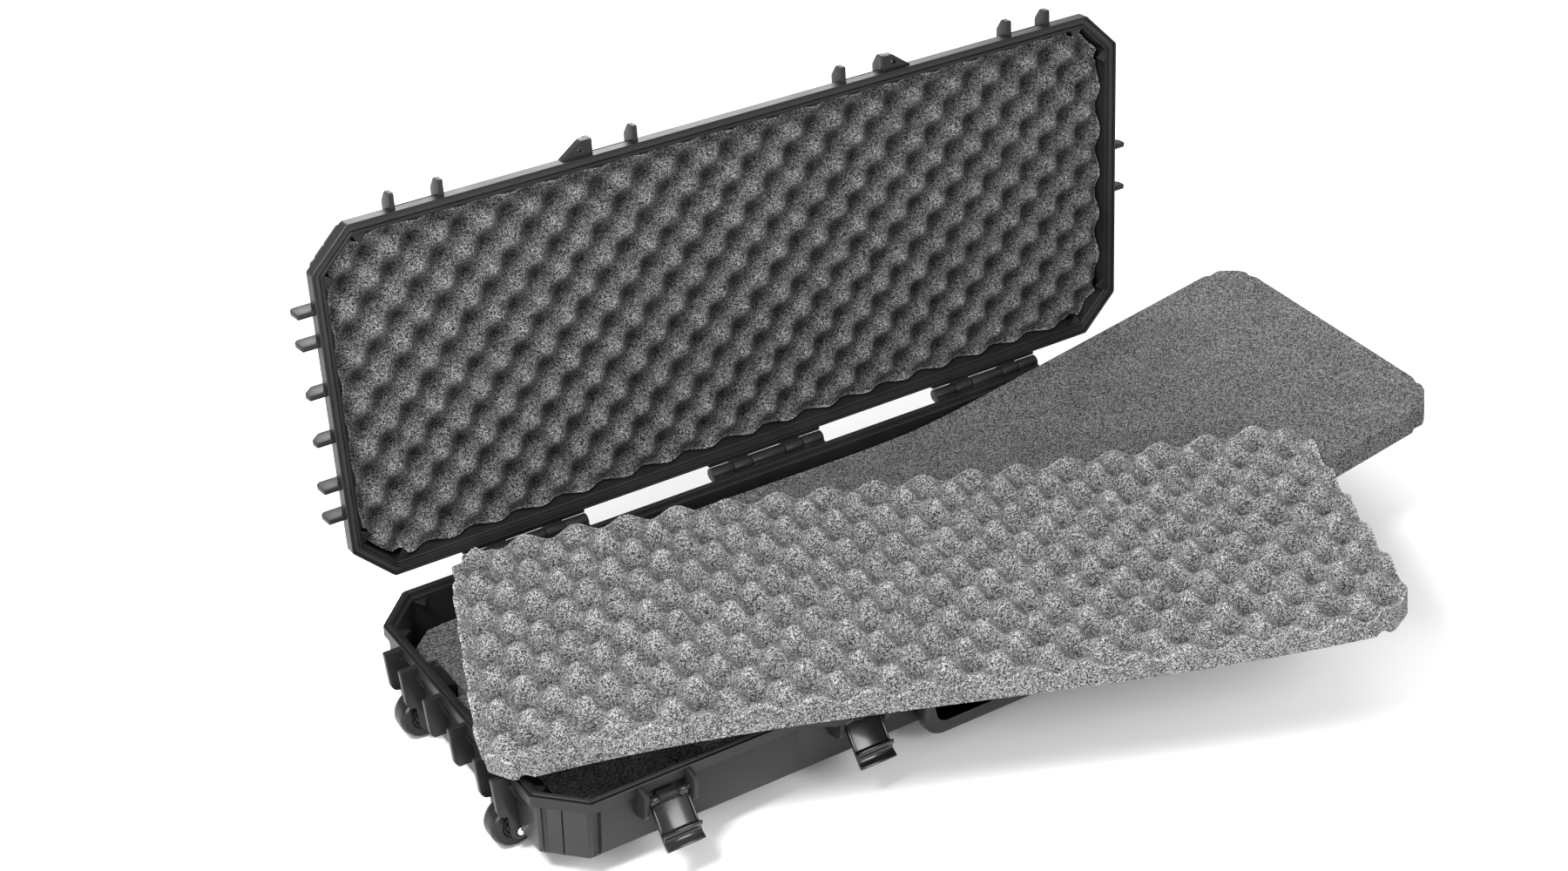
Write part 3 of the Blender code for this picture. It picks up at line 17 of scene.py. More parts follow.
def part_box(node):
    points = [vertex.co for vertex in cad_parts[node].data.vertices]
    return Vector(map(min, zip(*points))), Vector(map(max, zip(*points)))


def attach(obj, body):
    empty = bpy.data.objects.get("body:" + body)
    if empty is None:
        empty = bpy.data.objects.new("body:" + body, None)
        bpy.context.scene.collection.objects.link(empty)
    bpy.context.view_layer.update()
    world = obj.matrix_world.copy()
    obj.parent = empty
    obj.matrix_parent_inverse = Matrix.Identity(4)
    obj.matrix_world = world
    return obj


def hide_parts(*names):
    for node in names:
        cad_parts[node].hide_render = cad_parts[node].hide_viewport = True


bl_info = {
    "name": "Long Hard Case",
    "version": (1, 0, 0),
    "blender": (4, 5, 0),
    "location": "3D View > Sidebar > Hard Case",
    "description": "Builds a long hard case with its foam, latches, wheels and stage",
    "category": "Object",
}

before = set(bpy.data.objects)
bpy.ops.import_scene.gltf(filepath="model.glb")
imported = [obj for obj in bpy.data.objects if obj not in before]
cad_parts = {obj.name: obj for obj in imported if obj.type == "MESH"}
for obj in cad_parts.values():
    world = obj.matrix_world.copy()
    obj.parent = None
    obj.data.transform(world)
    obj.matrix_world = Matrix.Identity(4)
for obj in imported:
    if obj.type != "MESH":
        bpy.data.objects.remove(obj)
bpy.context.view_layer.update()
HINGE_Y = 0.211
RIM_Z = 0.100
_low, _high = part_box("hinge_pin_middle")
OFFSET = np.array([(_low.x + _high.x) / 2, (_low.y + _high.y) / 2 - HINGE_Y, 0.0])

HALF_L = 0.500              # half the rim's length and width
HALF_W = 0.199
CUT_X = 0.043               # corner cut off the rim's outline, along X and Y
CUT_Y = 0.042
BOTTOM_Z = 0.026
FLOOR_Z = 0.0295
LID_Z = 0.1004
LID_TOP = 0.1424
WHEEL_X = -0.492
WHEEL_Y = 0.098
WHEEL_Z = 0.0265            # also the wheel's radius
FIN_MIDDLE = 0.0805         # fins either side of a wheel, along Y
FIN_FAR = 0.1155
FIN_OUT = -HALF_L - 0.0197  # outer edge of the wheel end's fins
LATCH_Y = -0.2045
LATCH_Z = 0.081
LATCH_OPEN = math.radians(138.7)
GUARD_STEP = 0.02675        # guard or lug from the middle of its latch
KNUCKLE = 0.0074            # radius of a hinge knuckle
HANDLE_Z = 0.076            # pivots of both handles
SKID_Y = 0.110
GAP = 0.0003                # between pieces that touch
CRATE_SIZE = (0.924, 0.3432)
FLAT_SIZE = (0.955, 0.356)
FLOOR_FOAM = 0.0265         # thickness
LATCHES = (("1", -0.378), ("2", -0.156), ("3", 0.156), ("4", 0.378))
HINGES = (-0.305, 0.0, 0.305)
FINS = (-FIN_FAR, -FIN_MIDDLE, -0.0265, 0.0265, FIN_MIDDLE, FIN_FAR)
EARS = ((-0.156, -1), (0.156, 1))


# ---- settings
def metres(name, description, default, least=0.0):
    return FloatProperty(name=name, description=description, default=default,
                         min=least, unit='LENGTH')


def tint(name, description, red_green, blue):
    return FloatVectorProperty(name=name, description=description, subtype='COLOR',
                               size=4, min=0.0, max=1.0,
                               default=(red_green, red_green, blue, 1.0))


class CaseSizes(PropertyGroup):
    """Sizes a user would change on the finished case"""
    edge: metres("Edge rounding", "Rounding of moulded edges", 0.0007)
    corner: metres("Corner rounding", "Rounding of the rim's eight corners", 0.0050)
    foam_step: metres("Egg-crate step", "Peak to the next pit of the foam", 0.0264, 0.005)
    foam_peak: metres("Foam peak", "Egg-crate thickness at a peak", 0.0375, 0.005)
    foam_pit: metres("Foam pit", "Egg-crate thickness at a pit", 0.0140, 0.002)
    foam_grid: metres("Foam grid", "Spacing of the foam surface's grid", 0.0038, 0.001)
    lid_angle: FloatProperty(
        name="Lid angle", description="How far the lid stands open",
        default=math.radians(95.9), subtype='ANGLE')
    turned_steps: IntProperty(
        name="Turned steps", description="Faces round a turned piece",
        default=56, min=12)


class CaseColours(PropertyGroup):
    """Colours of the case's finishes"""
    plastic: tint("Shell plastic", "Colour of the moulded shells", 0.0110, 0.0114)
    glossy: tint("Latch plastic", "Colour of the latches", 0.0060, 0.0064)
    lid_foam: tint("Lid foam", "Colour of the foam in the lid", 0.082, 0.084)
    crate_foam: tint("Egg-crate foam", "Colour of the loose egg-crate sheet", 0.164, 0.166)
    flat_foam: tint("Loose flat foam", "Colour of the flat sheets", 0.090, 0.092)
    floor: tint("Floor", "Colour of the stage's floor", 0.92, 0.92)


def sizes():
    return bpy.context.scene.case_sizes


def colours():
    return bpy.context.scene.case_colours


# ---- mesh forms
class Form:
    """Points and faces gathered from several surfaces into one mesh."""

    def __init__(self):
        self.points = []
        self.faces = []
        self.count = 0

    def add(self, points, faces):
        points = np.asarray(points, float).reshape(-1, 3)
        self.faces += [[self.count + i for i in face] for face in faces]
        self.points.append(points)
        self.count += len(points)
        return self

    def plate(self, *shape, **settings):
        return self.add(*plate(*shape, **settings))

    def make(self, name, mat, body, nodes=(), angle=38.0, place=None, tone=None):
        points = np.vstack(self.points)
        if place is not None:
            points = place(points)
        points = points + OFFSET
        mesh = bpy.data.meshes.new(name)
        mesh.from_pydata(points.tolist(), [], self.faces)
        bm = bmesh.new()
        bm.from_mesh(mesh)
        bmesh.ops.recalc_face_normals(bm, faces=bm.faces[:])
        bm.to_mesh(mesh)
        bm.free()
        # tone carries the foam's painted light: painted shade in the pits, a painted
        # highlight on the cut line
        if tone is not None:
            layer = mesh.attributes.new("tone", 'FLOAT', 'POINT')
            layer.data.foreach_set("value", np.asarray(tone, np.float32))
        mesh.update()
        mesh.shade_smooth()
        mesh.set_sharp_from_angle(angle=math.radians(angle))
        mesh.materials.append(mat)
        piece = bpy.data.objects.new(name, mesh)
        bpy.context.scene.collection.objects.link(piece)
        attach(piece, body)
        if nodes:
            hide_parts(*nodes)
        return piece


def skin(rings, closed=False, caps=True):
    """Faces over a table of rings: ring i, place j is point i * n + j.

    Each face joins (i, j), (i, j + 1), (i + 1, j + 1), (i + 1, j), with j
    running round.  closed also joins the last ring to the first.
    """
    rings = np.asarray(rings, float)
    m, n = rings.shape[:2]
    i = np.arange(m if closed else m - 1)[:, None]
    j = np.arange(n)[None, :]
    k = (j + 1) % n
    up = (i + 1) % m
    quads = np.stack(np.broadcast_arrays(i * n + j, i * n + k, up * n + k, up * n + j),
                     -1).reshape(-1, 4)
    faces = quads.tolist()
    if caps and not closed:
        faces.append(list(range(n))[::-1])
        faces.append(list(range((m - 1) * n, m * n)))
    return rings.reshape(-1, 3), faces


def grid(points, flip=False):
    """Faces over an open table of points."""
    points = np.asarray(points, float)
    m, n = points.shape[:2]
    i = np.arange(m - 1)[:, None] * n
    j = np.arange(n - 1)[None, :]
    quads = np.stack(np.broadcast_arrays(i + j, i + j + 1, i + n + j + 1, i + n + j),
                     -1).reshape(-1, 4)
    if flip:
        quads = quads[:, ::-1]
    return points.reshape(-1, 3), quads.tolist()


def rim_outline(inset, corner_inset, z, marks=None, dents=None, steps=4):
    """The rim's eight-sided outline moved in, as points at one height.

    Side k has normal angle t(k) and lies at distance d(k) from the middle.
    Moved in by inset + r, neighbouring sides cross at a corner's centre, and
    the corner is an arc of radius r about it.  marks are shares along each
    side where the outline has more points, and dents push them in.
    """
    r = max(sizes().corner - inset * 0.25, 0.0016)
    lean = math.atan2(CUT_X, CUT_Y)
    half = math.pi / 2
    turn = np.array([0, lean, half, 2 * half - lean, 2 * half, 2 * half + lean,
                     3 * half, 4 * half - lean])
    far = (CUT_Y * HALF_L + CUT_X * HALF_W - CUT_X * CUT_Y) / math.hypot(CUT_X, CUT_Y)
    away = np.array([HALF_L, far, HALF_W, far] * 2) - r
    away -= np.array([inset, corner_inset] * 4)
    turn2 = np.roll(turn, -1)
    turn2[-1] += 4 * half
    away2 = np.roll(away, -1)
    det = np.sin(turn2 - turn)
    cx = (away * np.sin(turn2) - away2 * np.sin(turn)) / det
    cy = (away2 * np.cos(turn) - away * np.cos(turn2)) / det
    t = turn[:, None] + (turn2 - turn)[:, None] * np.linspace(0, 1, steps + 1)
    arcs = np.stack([cx[:, None] + r * np.cos(t), cy[:, None] + r * np.sin(t)], -1)
    if marks is not None:
        start, stop = arcs[:, -1], np.roll(arcs[:, 0], -1, 0)
        normal = np.stack([np.cos(turn2), np.sin(turn2)], -1)
        line = start[:, None] + (stop - start)[:, None] * marks[..., None]
        line = line - normal[:, None] * dents[..., None]
        arcs = np.concatenate([arcs, line], 1)
    flat = arcs.reshape(-1, 2)
    return np.column_stack([flat, np.full(len(flat), z)])


def soften(points, radius, steps=4):
    """Rounds each corner p with the curve (1-t)^2 a + 2t(1-t) p + t^2 b.

    a and b lie on the corner's two sides, a radius away from p.
    """
    p = np.asarray(points, float)
    back = np.roll(p, 1, 0) - p
    on = np.roll(p, -1, 0) - p
    lb = np.linalg.norm(back, axis=1)
    lo = np.linalg.norm(on, axis=1)
    r = np.minimum(radius, 0.45 * np.minimum(lb, lo))[:, None]
    a = (p + back / lb[:, None] * r)[:, None]
    b = (p + on / lo[:, None] * r)[:, None]
    t = np.linspace(0, 1, steps)[None, :, None]
    return ((1 - t) ** 2 * a + 2 * t * (1 - t) * p[:, None] + t * t * b).reshape(-1, 2)


def moved_in(p, distance):
    """Outline points moved in along the mitre of their two sides."""
    d = np.roll(p, -1, 0) - p
    d /= np.linalg.norm(d, axis=1)[:, None] + 1e-12
    n = np.stack([-d[:, 1], d[:, 0]], -1)
    m = np.roll(n, 1, 0)
    mitre = (n + m) / (1 + (n * m).sum(1))[:, None].clip(0.35)
    return p + distance * mitre


def plate(points, low, high, axis, edge=None, soft=0.0012, steps=3, curve=4):
    """A flat outline made thick along an axis, its rim rounded by quarter circles.

    At angle t of the rounding the outline is moved in by edge (1 - sin t) and
    lies edge (1 - cos t) inside the face.
    """
    edge = sizes().edge if edge is None else edge
    edge = min(edge, (high - low) * 0.49)
    flat = soften(points, soft, curve)
    x, y = flat.T
    if (x * np.roll(y, -1) - y * np.roll(x, -1)).sum() < 0:
        flat = flat[::-1]
    t = np.linspace(0, math.pi / 2, steps)
    inset = edge * (1 - np.sin(t))
    depth = edge * (1 - np.cos(t))
    levels = list(zip(inset, low + depth)) + list(zip(inset[::-1], (high - depth)[::-1]))
    rings = []
    for amount, at in levels:
        a, b = moved_in(flat, amount).T
        c = np.full(len(a), at)
        order = {"X": (c, a, b), "Y": (a, c, b), "Z": (a, b, c)}[axis]
        rings.append(np.stack(order, -1))
    return skin(rings)


def spun(profile, centre, axis, steps=None):
    """Profile of (radius, along) pairs carried round an axis.

    At angle t a point stands radius cos t and radius sin t off the axis.
    """
    steps = steps or sizes().turned_steps
    profile = np.asarray(profile, float)
    t = np.linspace(0, 2 * math.pi, steps, endpoint=False)[:, None]
    u = profile[None, :, 0] * np.cos(t)
    v = profile[None, :, 0] * np.sin(t)
    w = np.broadcast_to(profile[None, :, 1], u.shape)
    order = {"X": (w, u, v), "Y": (u, w, v), "Z": (u, v, w)}[axis]
    return skin(np.stack(order, -1) + np.asarray(centre, float), closed=True)


def box(x0, y0, x1, y1):
    """The four corners of a rectangle."""
    return [(x0, y0), (x1, y0), (x1, y1), (x0, y1)]


def pair(side, near, far):
    """near and far on one side of the middle, the lower first."""
    return sorted((side * near, side * far))


def arc(cx, cy, radius, start, stop, steps):
    """Points at even angles, given in degrees, on an arc."""
    t = np.radians(np.linspace(start, stop, steps + 1))
    return list(zip(cx + radius * np.cos(t), cy + radius * np.sin(t)))


def turned(points, y0, z0, angle):
    """Points turned about the line y0, z0 along X: y c - z s and y s + z c."""
    c, s = math.cos(angle), math.sin(angle)
    y, z = points[:, 1] - y0, points[:, 2] - z0
    return np.stack([points[:, 0], y0 + y * c - z * s, z0 + y * s + z * c], -1)


def lid_up(points):
    """Turns the closed lid about the hinge line to where it stands open."""
    return turned(points, HINGE_Y, RIM_Z, -sizes().lid_angle)


def latch_down(points):
    """Turns a closed latch about its pin to where it hangs."""
    return turned(points, LATCH_Y, LATCH_Z, LATCH_OPEN)


def cut_away(piece, blocks, operation='DIFFERENCE'):
    """Cuts, or joins, plain blocks from a piece one by one and keeps the result."""
    for low, high in blocks:
        ends = [[(x, y, z) for x, y in box(*low[:2], *high[:2])]
                for z in (low[2], high[2])]
        tool = Form().add(*skin(ends)).make("cut_tool", piece.data.materials[0], "base")
        mod = piece.modifiers.new("cut", 'BOOLEAN')
        mod.operation = operation
        mod.solver = 'EXACT'
        mod.object = tool
        seen = bpy.context.evaluated_depsgraph_get()
        mesh = bpy.data.meshes.new_from_object(piece.evaluated_get(seen))
        piece.modifiers.remove(mod)
        piece.data = mesh
        bpy.data.objects.remove(tool)
    piece.data.shade_smooth()
    piece.data.set_sharp_from_angle(angle=math.radians(30))


# ---- node groups
def new_group(name, values, outputs):
    """A node group with a Vector input, number inputs and number outputs."""
    group = bpy.data.node_groups.new(name, 'ShaderNodeTree')
    new = group.interface.new_socket
    new("Vector", in_out='INPUT', socket_type='NodeSocketVector')
    for label, value in values.items():
        new(label, in_out='INPUT', socket_type='NodeSocketFloat').default_value = value
    for label in outputs:
        new(label, in_out='OUTPUT', socket_type='NodeSocketFloat')
    inside = group.nodes.new('NodeGroupInput')
    return group, inside.outputs, group.nodes.new('NodeGroupOutput')


def node(tree, kind, values=None, **settings):
    """A new node, its inputs set to values or linked to sockets."""
    made = tree.nodes.new(kind)
    for key, value in settings.items():
        setattr(made, key, value)
    feed(tree, made, values or {})
    return made


def feed(tree, made, values):
    for key, value in values.items():
        if isinstance(value, bpy.types.NodeSocket):
            tree.links.new(value, made.inputs[key])
        else:
            made.inputs[key].default_value = value


def spread(tree, value, low, high, start=0.3, stop=0.7):
    """A value's range from start to stop carried to the range low to high."""
    return node(tree, 'ShaderNodeMapRange',
                {"Value": value, "From Min": start, "From Max": stop,
                 "To Min": low, "To Max": high}).outputs["Result"]


def maths(tree, operation, first, second):
    return node(tree, 'ShaderNodeMath', {0: first, 1: second},
                operation=operation).outputs["Value"]


def moulded_group():
    """Fine grain, soft cloudiness and handling marks of moulded plastic."""
    group, i, o = new_group(
        "Moulded Plastic", {"Grain Scale": 1400.0, "Cloud Scale": 22.0, "Dust": 0.15},
        ("Shade", "Roughness", "Height"))

    def noise(scale, detail, rough=0.5):
        return node(group, 'ShaderNodeTexNoise', {
            "Vector": i["Vector"], "Scale": scale, "Detail": detail,
            "Roughness": rough}).outputs["Fac"]

    cloud = noise(i["Cloud Scale"], 4.0, 0.55)
    dust = spread(group, noise(520.0, 1.0), 0.0, 1.0, 0.66, 0.80)
    dust = maths(group, 'MULTIPLY', dust, i["Dust"])
    shade = spread(group, cloud, 0.85, 1.25)
    feed(group, o, {"Shade": maths(group, 'ADD', shade, dust),
                    "Roughness": spread(group, cloud, -0.05, 0.06),
                    "Height": noise(i["Grain Scale"], 2.0, 0.6)})
    return group


def foam_group():
    """Open cells of foam: each cell has its own shade, dark pore to bright strand."""
    group, i, o = new_group(
        "Open Cell Foam", {"Cell Scale": 1000.0, "Dark": 0.15, "Bright": 3.0},
        ("Shade", "Height"))
    cells = node(group, 'ShaderNodeTexVoronoi',
                 {"Vector": i["Vector"], "Scale": i["Cell Scale"]}, feature='F1')
    cloud = node(group, 'ShaderNodeTexNoise',
                 {"Vector": i["Vector"], "Scale": 26.0, "Detail": 3.0})
    parts = node(group, 'ShaderNodeSeparateColor', {"Color": cells.outputs["Color"]})
    sharp = maths(group, 'POWER', parts.outputs["Red"], 1.8)
    tone = node(group, 'ShaderNodeMix',
                {"Factor": sharp, 2: i["Dark"], 3: i["Bright"]}, data_type='FLOAT')
    patch = spread(group, cloud.outputs["Fac"], 0.88, 1.10)
    feed(group, o, {
        "Shade": maths(group, 'MULTIPLY', tone.outputs[0], patch),
        "Height": maths(group, 'ADD', parts.outputs["Green"],
                        cells.outputs["Distance"])})
    return group


GROUPS = {}


def group_node(tree, maker, values):
    """A node of the group that maker makes, once, fed with object coordinates."""
    if maker not in GROUPS:
        GROUPS[maker] = maker()
    coords = node(tree, 'ShaderNodeTexCoord')
    return node(tree, 'ShaderNodeGroup', {"Vector": coords.outputs["Object"], **values},
                node_tree=GROUPS[maker]).outputs


def start_material(name):
    mat = bpy.data.materials.new(name)
    mat.use_nodes = True
    return mat, mat.node_tree, mat.node_tree.nodes["Principled BSDF"]


def tinted(tree, shade, colour):
    """Base colour times a shade that changes over the surface."""
    return node(tree, 'ShaderNodeVectorMath', {0: colour[:3], "Scale": shade},
                operation='SCALE').outputs["Vector"]


def bumped(tree, height, strength, distance):
    return node(tree, 'ShaderNodeBump', {"Height": height, "Strength": strength,
                                         "Distance": distance}).outputs["Normal"]


def plastic(name, colour, rough, grain=0.00003, coat=0.0, dust=0.15, cloud=22.0):
    mat, tree, shader = start_material(name)
    made = group_node(tree, moulded_group, {"Dust": dust, "Cloud Scale": cloud})
    feed(tree, shader, {
        "Base Color": tinted(tree, made["Shade"], colour),
        "Roughness": maths(tree, 'ADD', rough, made["Roughness"]),
        "Normal": bumped(tree, made["Height"], 0.25, grain),
        "Specular IOR Level": 0.30, "Coat Weight": coat, "Coat Roughness": 0.12})
    return mat


def foam(name, colour, dark, bright, pit):
    """Foam whose shade falls to the share pit where the tone attribute is 0: painted shade
    in the egg-crate's pits, and a painted highlight where tone rises above 1 on the cut
    line.
    """
    mat, tree, shader = start_material(name)
    made = group_node(tree, foam_group, {"Dark": dark, "Bright": bright})
    # painted light read from the mesh: painted shade darkens the pits, and the cut line
    # gets a painted highlight
    tone = node(tree, 'ShaderNodeAttribute', attribute_name="tone")
    painted_shade_and_highlight = node(tree, 'ShaderNodeMapRange',
                {"Value": tone.outputs["Fac"], "To Min": pit, "To Max": 1.0}, clamp=False)
    shade = maths(tree, 'MULTIPLY', made["Shade"], painted_shade_and_highlight.outputs["Result"])
    feed(tree, shader, {
        "Base Color": tinted(tree, shade, colour),
        "Normal": bumped(tree, made["Height"], 0.8, 0.0003),
        "Roughness": 0.95, "Specular IOR Level": 0.15})
    return mat


def metal(name, colour, rough):
    mat, tree, shader = start_material(name)
    coords = node(tree, 'ShaderNodeTexCoord')
    noise = node(tree, 'ShaderNodeTexNoise', {
        "Vector": coords.outputs["Object"], "Scale": 900.0, "Detail": 3.0}).outputs["Fac"]
    shade = spread(tree, noise, 0.8, 1.15, 0.0, 1.0)
    feed(tree, shader, {
        "Base Color": tinted(tree, shade, colour), "Metallic": 1.0,
        "Roughness": spread(tree, noise, rough * 0.7, rough * 1.35, 0.0, 1.0)})
    return mat


def shell_plastic():
    made = bpy.data.materials.get("shell_plastic")
    return made or plastic("shell_plastic", colours().plastic, 0.40)


# ---- base shell
def wall_marks():
    """Shares along each side where walls have grooves, and how deep they are."""
    long_side = np.array([0.004, 0.0062, 0.0115, 0.0135])
    short_side = np.array([0.02, 0.04, 0.06, 0.08])
    corner = np.array([0.06, 0.08, 0.16, 0.18, 0.480, 0.492, 0.508, 0.520])
    flat = np.zeros(8)
    groove = np.array([0, 1, 1, 0, 0, 1, 1, 0]) * 1.0
    long_marks = np.concatenate([long_side, 1 - long_side[::-1]])
    short_marks = np.concatenate([short_side, 1 - short_side[::-1]])
    marks = np.array([corner, long_marks, corner[::-1] * -1 + 1, short_marks] * 2)
    dents = np.array([groove * 0.0016, groove * 0.0034, groove * 0.0016, flat] * 2)
    return marks, dents


def wall_rings(rows):
    """Rings of a shell, from (inset, z) or (inset, inset at corners, z, groove)."""
    marks, dents = wall_marks()
    rings = []
    for row in rows:
        inset, corner, z, groove = row if len(row) == 4 else (row[0], *row, 0)
        rings.append(rim_outline(inset, corner, z, marks, dents * groove))
    return rings


class CASE_OT_base(Operator):
    """Build the base tub with its rim, wells, fins, guards, knuckles and skids"""
    bl_idname = "case.base"
    bl_label = "Base Shell"

    def execute(self, context):
        mat = shell_plastic()
        z = RIM_Z
        tub = Form().add(*skin(wall_rings([
            (0.0125, 0.0105, BOTTOM_Z, 0), (0.0090, 0.0070, BOTTOM_Z + 0.0008, 0),
            (0.0074, 0.0052, BOTTOM_Z + 0.0028, 1), (0.0070, 0.0046, 0.0300, 1),
            (0.0052, 0.0028, 0.0872, 1), (0.0042, 0.0024, 0.0879, 0), (0.0005, 0.0880),
            (0.0, 0.0886), (0.0, z - 0.0006), (0.0005, z), (0.0016, z),
            (0.0019, z - 0.0011), (0.0030, z - 0.0011), (0.0033, z + 0.0012),
            (0.0039, z + 0.0018), (0.0054, z + 0.0018), (0.0057, z + 0.0014),
            (0.0060, z + 0.0018), (0.0075, z + 0.0018), (0.0081, z + 0.0012),
            (0.0083, z - 0.0006), (0.0090, z - 0.0006), (0.0093, z - 0.0022),
            (0.0122, z - 0.0026), (0.0130, z - 0.0034), (0.0146, 0.0330),
            (0.0156, 0.0303), (0.0186, FLOOR_Z)]))).make(
                "base_tub", mat, "base", ["base_shell"], 30)
        housings, wells = [], []
        for side in (-1, 1):
            y0, y1 = pair(side, FIN_MIDDLE, FIN_FAR)
            housings.append(((-0.4925, y0, 0.0275), (-0.459, y1, 0.0595)))
            w = side * WHEEL_Y
            wells.append(((-0.53, w - 0.0143, -0.01), (-0.4625, w + 0.0143, 0.056)))
            # room for the nut and for the bolt's head
            for outer, end, inner in (((0.0655, FIN_MIDDLE), -0.4815, (0.0690, 0.0775)),
                                      ((0.1150, 0.1280), -0.4825, (0.1185, 0.1245))):
                y0, y1 = pair(side, *outer)
                housings.append(((-0.4925, y0, 0.0275), (end, y1, 0.0367)))
                y0, y1 = pair(side, *inner)
                wells.append(((-0.53, y0, -0.01), (-0.4853, y1, 0.0332)))
        cut_away(tub, housings, 'UNION')
        cut_away(tub, wells)
        self.add_fins(mat)
        self.add_guards(mat)
        self.add_knuckles(mat)
        self.add_handle_ears(mat)
        self.add_details(mat)
        return {'FINISHED'}

    def add_fins(self, mat):
        """Upright fins of the wheel end, the outer pairs carrying an axle."""
        form = Form()
        root = -0.4915
        top = RIM_Z - 0.0006
        low = RIM_Z - 0.0495
        for y in FINS:
            points = [(root, top), (FIN_OUT, top), (FIN_OUT + 0.0043, low + 0.006),
                      (FIN_OUT + 0.0085, low)]
            if abs(y) >= FIN_MIDDLE:
                points.append((WHEEL_X - 0.0120, low - 0.002))
                points += arc(WHEEL_X, WHEEL_Z, 0.0105, 172, 282, 8)
                points += [(-0.4835, WHEEL_Z - 0.0088), (-0.4835, low)]
            else:
                points.append((root, low))
            form.plate(points, y - 0.003, y + 0.003, "Y", 0.0008, 0.0022)
            # thin web that stiffens the fin's foot under the flange
            web = [(-0.4925, 0.0885), (-0.5035, 0.0885), (-0.4950, 0.0700),
                   (-0.4925, 0.0700)]
            form.plate(web, y - 0.0045, y + 0.0045, "Y", 0.0006, 0.0010)
        for side in (-1, 1):
            ring = [(a, side * b) for a, b in (
                (0.0060, 0.0), (0.0085, 0.0), (0.0085, 0.0007), (0.0079, 0.0012),
                (0.0066, 0.0012), (0.0060, 0.0007))]
            form.add(*spun(ring, (WHEEL_X, side * (FIN_FAR + 0.0026), WHEEL_Z), "Y", 40))
        form.make("wheel_end_fins", mat, "base")

    def add_guards(self, mat):
        """Guards beside the latches, pin bosses and padlock ears."""
        form = Form()
        top = RIM_Z - 0.0008
        foot = -HALF_W + 0.0080
        out = -HALF_W - 0.0143
        low = RIM_Z - 0.0355
        guard = [(foot, top - 0.0003), (-HALF_W - 0.0015, top - 0.0003),
                 (out, top - 0.0035), (out, low + 0.006), (out + 0.0050, low),
                 (foot, low - 0.0045)]
        for _, x in LATCHES:
            for side in (-1, 1):
                m = x + side * GUARD_STEP
                form.plate(guard, m - 0.0027, m + 0.0027, "X", 0.0009, 0.0022)
            boss = arc(LATCH_Y, LATCH_Z, 0.0041, 70, 290, 10)
            boss += [(foot, LATCH_Z - 0.0062), (foot, LATCH_Z + 0.0032)]
            form.plate(boss, x - 0.0099, x + 0.0099, "X", 0.0004, 0.0002, curve=2)
            back = box(x - 0.0236, 0.0640, x + 0.0236, 0.0872)
            form.plate(back, -0.1950, -0.1934, "Y", 0.0004, 0.0015)
        for x, side in EARS:
            padlock_ear(form, x + side * GUARD_STEP, side, 0.0893, 0.0981)
        form.make("latch_guards", mat, "base")

    def add_knuckles(self, mat):
        form = knuckles(((-0.07347, -0.0467), (-0.0214, 0.0214), (0.0467, 0.07347)),
                        (189.0, -90.0), 0.1935, RIM_Z - 0.0014, RIM_Z - 0.0098,
                        RIM_Z - 0.0088, RIM_Z - 0.0016)
        form.make("base_knuckles", mat, "base")

    def add_handle_ears(self, mat):
        """Ears of the carry handle on the front, and of the pull handle at +X."""
        form = Form()
        for sign, wall, half, out, radius, axis in (
                (-1, HALF_W, 0.0846, 0.0056, 0.0098, "X"),
                (1, HALF_L, 0.0656, 0.0036, 0.0078, "Y")):
            ear = [(-0.0072, HANDLE_Z + radius + 0.0012)]
            ear += arc(out, HANDLE_Z, radius, 90, -90, 12)
            ear += [(-0.0072, HANDLE_Z - radius - 0.0060)]
            ear = [(sign * (wall + a), b) for a, b in ear]
            for m in (-half, half):
                form.plate(ear, m - 0.003, m + 0.003, axis, 0.0008, 0.0008, curve=3)
        form.make("handle_ears", mat, "base")

    def add_details(self, mat):
        """Inner tabs, skids, ribs of the underside and flat panels on the walls."""
        form = Form()
        tabs(form, 0.0130, RIM_Z - 0.0075)
        for side in (-1, 1):
            y = side * SKID_Y
            skid = [(0.3225, 0.0275), (0.3325, 0.0002), (0.4315, 0.0002),
                    (0.4415, 0.0275)]
            form.plate(skid, y - 0.0078, y + 0.0078, "Y", 0.0012, 0.003)
        for x in (-0.30, -0.15, 0.0, 0.15, 0.30):
            form.plate(box(x - 0.003, -0.170, x + 0.003, 0.170),
                       BOTTOM_Z - 0.0012, BOTTOM_Z + 0.001, "Z", 0.0008, 0.002)
        for near, far in ((0.225, 0.345), (0.092, 0.120)):
            for side, y in ((-1, -0.1947), (-1, 0.1947), (1, -0.1947), (1, 0.1947)):
                x0, x1 = pair(side, near, far)
                form.plate(box(x0, 0.0340, x1, 0.0858), y - 0.0011, y + 0.0011,
                           "Y", 0.0009, 0.006)
        form.make("base_details", mat, "base")


def padlock_ear(form, x, side, z0, z1):
    """Sloping padlock ear with a round eye, as a ring lofted to its outline."""
    x0 = x - side * 0.0028
    outline = soften([(x0, -0.1945), (x0, -0.2163), (x0 + side * 0.0126, -0.2163),
                      (x0 + side * 0.0368, -0.1990), (x0 + side * 0.0368, -0.1945)],
                     0.0020, 8)
    middle = np.array([x0 + side * 0.0148, -0.2070])
    turn = np.arctan2(outline[:, 1] - middle[1], outline[:, 0] - middle[0])
    eye = middle + 0.0033 * np.stack([np.cos(turn), np.sin(turn)], -1)
    wide = middle + (eye - middle) * 1.12
    inner = outline * 0.985 + middle * 0.015
    rings = [np.column_stack([flat, np.full(len(flat), z)]) for flat, z in (
        (eye, z0 + 0.0004), (eye, z1 - 0.0004), (wide, z1), (inner, z1),
        (outline, z1 - 0.0006), (outline, z0 + 0.0006), (inner, z0), (wide, z0))]
    form.add(*skin(rings, closed=True))


